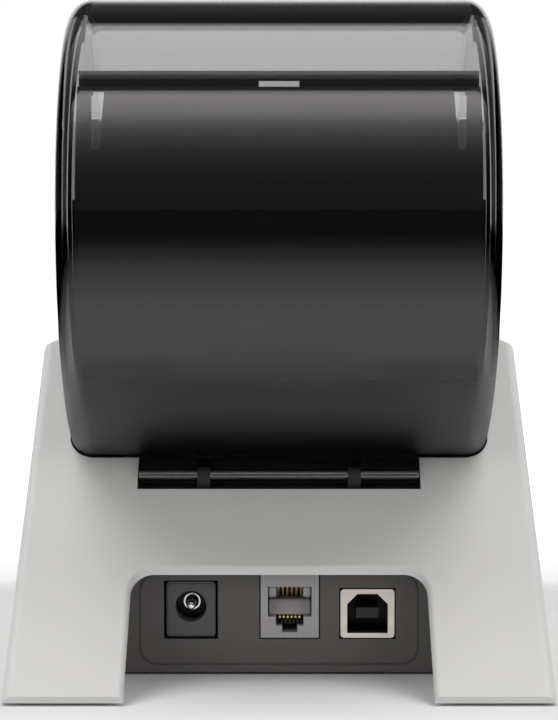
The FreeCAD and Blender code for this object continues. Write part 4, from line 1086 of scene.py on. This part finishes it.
# Studio
# A pale floor, a white backdrop, two soft lights above the printer, two soft fills beside the
# camera, and the photograph's camera. None of it belongs to the part.
floor_colour = (0.80, 0.80, 0.80)
floor_unlit_colour = (0.0, 0.0, 0.0)
floor_roughness = 0.9
floor_half_size = 3.0
floor_lift_mirrored = 0.20
floor_shadow_reach = 0.13
floor_white_from = 0.34
floor_bright_until = 0.14
floor_dark_from = 0.62
floor_fade_power = 2.4
floor_dark_in_hood = 0.9
floor_mirrored_reach = 0.5
floor_mirrored_end = 1.0
floor_beside_from = 0.09
floor_beside_end = 0.40
ambient_light = 0.22
mirror_light = 3.0
mirror_steps = (
    (0, 0.02),
    (13, 0.02),
    (21, 0.03),
    (29, 0.06),
    (37, 0.12),
    (46, 0.28),
    (54, 0.62),
    (60, 0.80),
    (65.6, 0.88),
    (66.6, 0.03),
    (76.4, 0.03),
    (77.4, 0.42),
    (118, 0.42),
    (121, 0.02),
    (152, 0.02),
    (160, 0.33),
    (180, 0.33),
)
room_inside_hood = 0.03
mirror_side_from = 0.35
mirror_side_to = 0.75
mirror_beside = 0.06
camera_place = (0.0, 0.5545, 0.0968)
camera_pitch_down = 3.0
focal_pixels = 2250.0
image_height_pixels = 720.0
sensor_height = 24.0


def product(tree, first, second):
    """Product of two values in a shader tree."""
    return work_out(tree, "MULTIPLY", first, second)


def larger(tree, first, second):
    """Larger of two values in a shader tree."""
    return work_out(tree, "MAXIMUM", first, second)


def build_floor():
    """Pale floor that shows its shadow near the printer and goes to white away from it.

    Reflections see it fade towards the camera and the sides, and light bounced inside the hood sees it dim.
    """
    mesh = bpy.data.meshes.new("floor")
    half = floor_half_size
    corners = [(-half, -half, 0), (half, -half, 0), (half, half, 0), (-half, half, 0)]
    mesh.from_pydata(corners, [], [(0, 1, 2, 3)])
    floor = bpy.data.objects.new("floor", mesh)
    bpy.context.scene.collection.objects.link(floor)
    material, tree, shader = start_material("pale_floor")
    nodes = tree.nodes
    links = tree.links
    rays = nodes.new("ShaderNodeLightPath")
    place = nodes.new("ShaderNodeTexCoord")
    split = nodes.new("ShaderNodeSeparateXYZ")
    links.new(place.outputs["Object"], split.inputs["Vector"])
    distance = nodes.new("ShaderNodeVectorMath")
    distance.operation = "LENGTH"
    links.new(place.outputs["Object"], distance.inputs[0])
    away = distance.outputs["Value"]
    is_glossy = rays.outputs["Is Glossy Ray"]
    sideways = work_out(tree, "ABSOLUTE", split.outputs["X"])
    before_camera = spread(tree, split.outputs["Y"], 1.0, 0.0, low=floor_bright_until, high=floor_dark_from)
    kept = work_out(tree, "POWER", before_camera, floor_fade_power)
    near_by = spread(tree, away, 1.0, 0.0, low=floor_mirrored_reach, high=floor_mirrored_end)
    beside = spread(tree, sideways, 1.0, 0.0, low=floor_beside_from, high=floor_beside_end)
    fading = spread(tree, product(tree, product(tree, kept, near_by), beside), 1.0, 0.0)
    bounced = product(tree, rays.outputs["Glossy Depth"], rays.outputs["Is Transmission Ray"])
    dark = larger(tree, product(tree, fading, is_glossy), spread(tree, bounced, 0.0, floor_dark_in_hood))
    links.new(two_tone(tree, dark, floor_colour, floor_unlit_colour), shader.inputs["Base Color"])
    whitening = spread(tree, away, 0.0, 1.0, low=floor_shadow_reach, high=floor_white_from)
    seen = product(tree, whitening, rays.outputs["Is Camera Ray"])
    seen_mirrored = product(tree, spread(tree, fading, floor_lift_mirrored, 0.0), is_glossy)
    links.new(larger(tree, seen, seen_mirrored), shader.inputs["Emission Strength"])
    shader.inputs["Emission Color"].default_value = (1, 1, 1, 1)
    shader.inputs["Roughness"].default_value = floor_roughness
    shader.inputs["Specular IOR Level"].default_value = 0.0
    mesh.materials.append(material)


build_floor()


def build_room():
    """White backdrop for the camera, banded sky for reflections and even dim light for matt surfaces.

    Seen through the hood the room is white, but light bounced inside the hood's wall sees it dark.
    """
    world = bpy.data.worlds.new("studio")
    world.use_nodes = True
    bpy.context.scene.world = world
    tree = world.node_tree
    nodes = tree.nodes
    links = tree.links
    background = nodes["Background"]
    rays = nodes.new("ShaderNodeLightPath")
    place = nodes.new("ShaderNodeTexCoord")
    split = nodes.new("ShaderNodeSeparateXYZ")
    links.new(place.outputs["Generated"], split.inputs["Vector"])
    rise = work_out(tree, "ARCTAN2", split.outputs["Z"], split.outputs["Y"])
    sky = nodes.new("ShaderNodeValToRGB")
    while len(sky.color_ramp.elements) < len(mirror_steps):
        sky.color_ramp.elements.new(1.0)
    for stop, (degrees, level) in zip(sky.color_ramp.elements, mirror_steps):
        stop.position = degrees / 180
        stop.color = (level, level, level, 1)
    links.new(work_out(tree, "DIVIDE", rise, math.pi), sky.inputs["Fac"])
    sky_level = product(tree, sky.outputs["Color"], mirror_light)
    sideways = work_out(tree, "ABSOLUTE", split.outputs["X"])
    ahead = spread(
        tree, sideways, 1.0, mirror_beside, low=mirror_side_from, high=mirror_side_to, smooth=True
    )
    mirrored = product(tree, product(tree, sky_level, ahead), rays.outputs["Is Glossy Ray"])
    through = spread(tree, rays.outputs["Glossy Depth"], 1.0, room_inside_hood, smooth=True)
    seen_through = product(tree, through, rays.outputs["Is Transmission Ray"])
    lit = product(tree, rays.outputs["Is Diffuse Ray"], ambient_light)
    seen = larger(tree, lit, rays.outputs["Is Camera Ray"])
    strength = larger(tree, larger(tree, mirrored, seen_through), seen)
    background.inputs["Color"].default_value = (1, 1, 1, 1)
    links.new(strength, background.inputs["Strength"])


build_room()


def add_softbox(name, place, aim, width, height, radiance):
    """Rectangular soft light at a place, turned to an aim point."""
    light = bpy.data.lights.new(name, "AREA")
    light.shape = "RECTANGLE"
    light.size = width
    light.size_y = height
    light.energy = radiance * math.pi * width * height
    lamp = bpy.data.objects.new(name, light)
    lamp.location = place
    direction = Vector(aim) - Vector(place)
    lamp.rotation_euler = direction.to_track_quat("-Z", "Y").to_euler()
    lamp.visible_camera = False
    lamp.visible_glossy = False
    lamp.visible_transmission = False
    bpy.context.scene.collection.objects.link(lamp)


for side in (-1, 1):
    add_softbox(
        f"upper_{side}",
        place=(0.45 * side, -0.12, 0.9),
        aim=(0.0, 0.03, 0.05),
        width=0.55,
        height=0.7,
        radiance=4.4,
    )
    add_softbox(
        f"fill_{side}",
        place=(1.05 * side, 0.88, 0.64),
        aim=(0.0, 0.03, 0.06),
        width=1.0,
        height=1.0,
        radiance=1.35,
    )

camera_data = bpy.data.cameras.new("camera")
camera_data.sensor_fit = "VERTICAL"
camera_data.sensor_height = sensor_height
camera_data.lens = sensor_height * focal_pixels / image_height_pixels
camera = bpy.data.objects.new("camera", camera_data)
camera.location = camera_place
camera.rotation_euler = (math.radians(90.0 - camera_pitch_down), 0.0, math.radians(180.0))
bpy.context.scene.collection.objects.link(camera)
bpy.context.scene.camera = camera
bpy.context.scene.view_settings.view_transform = "Standard"
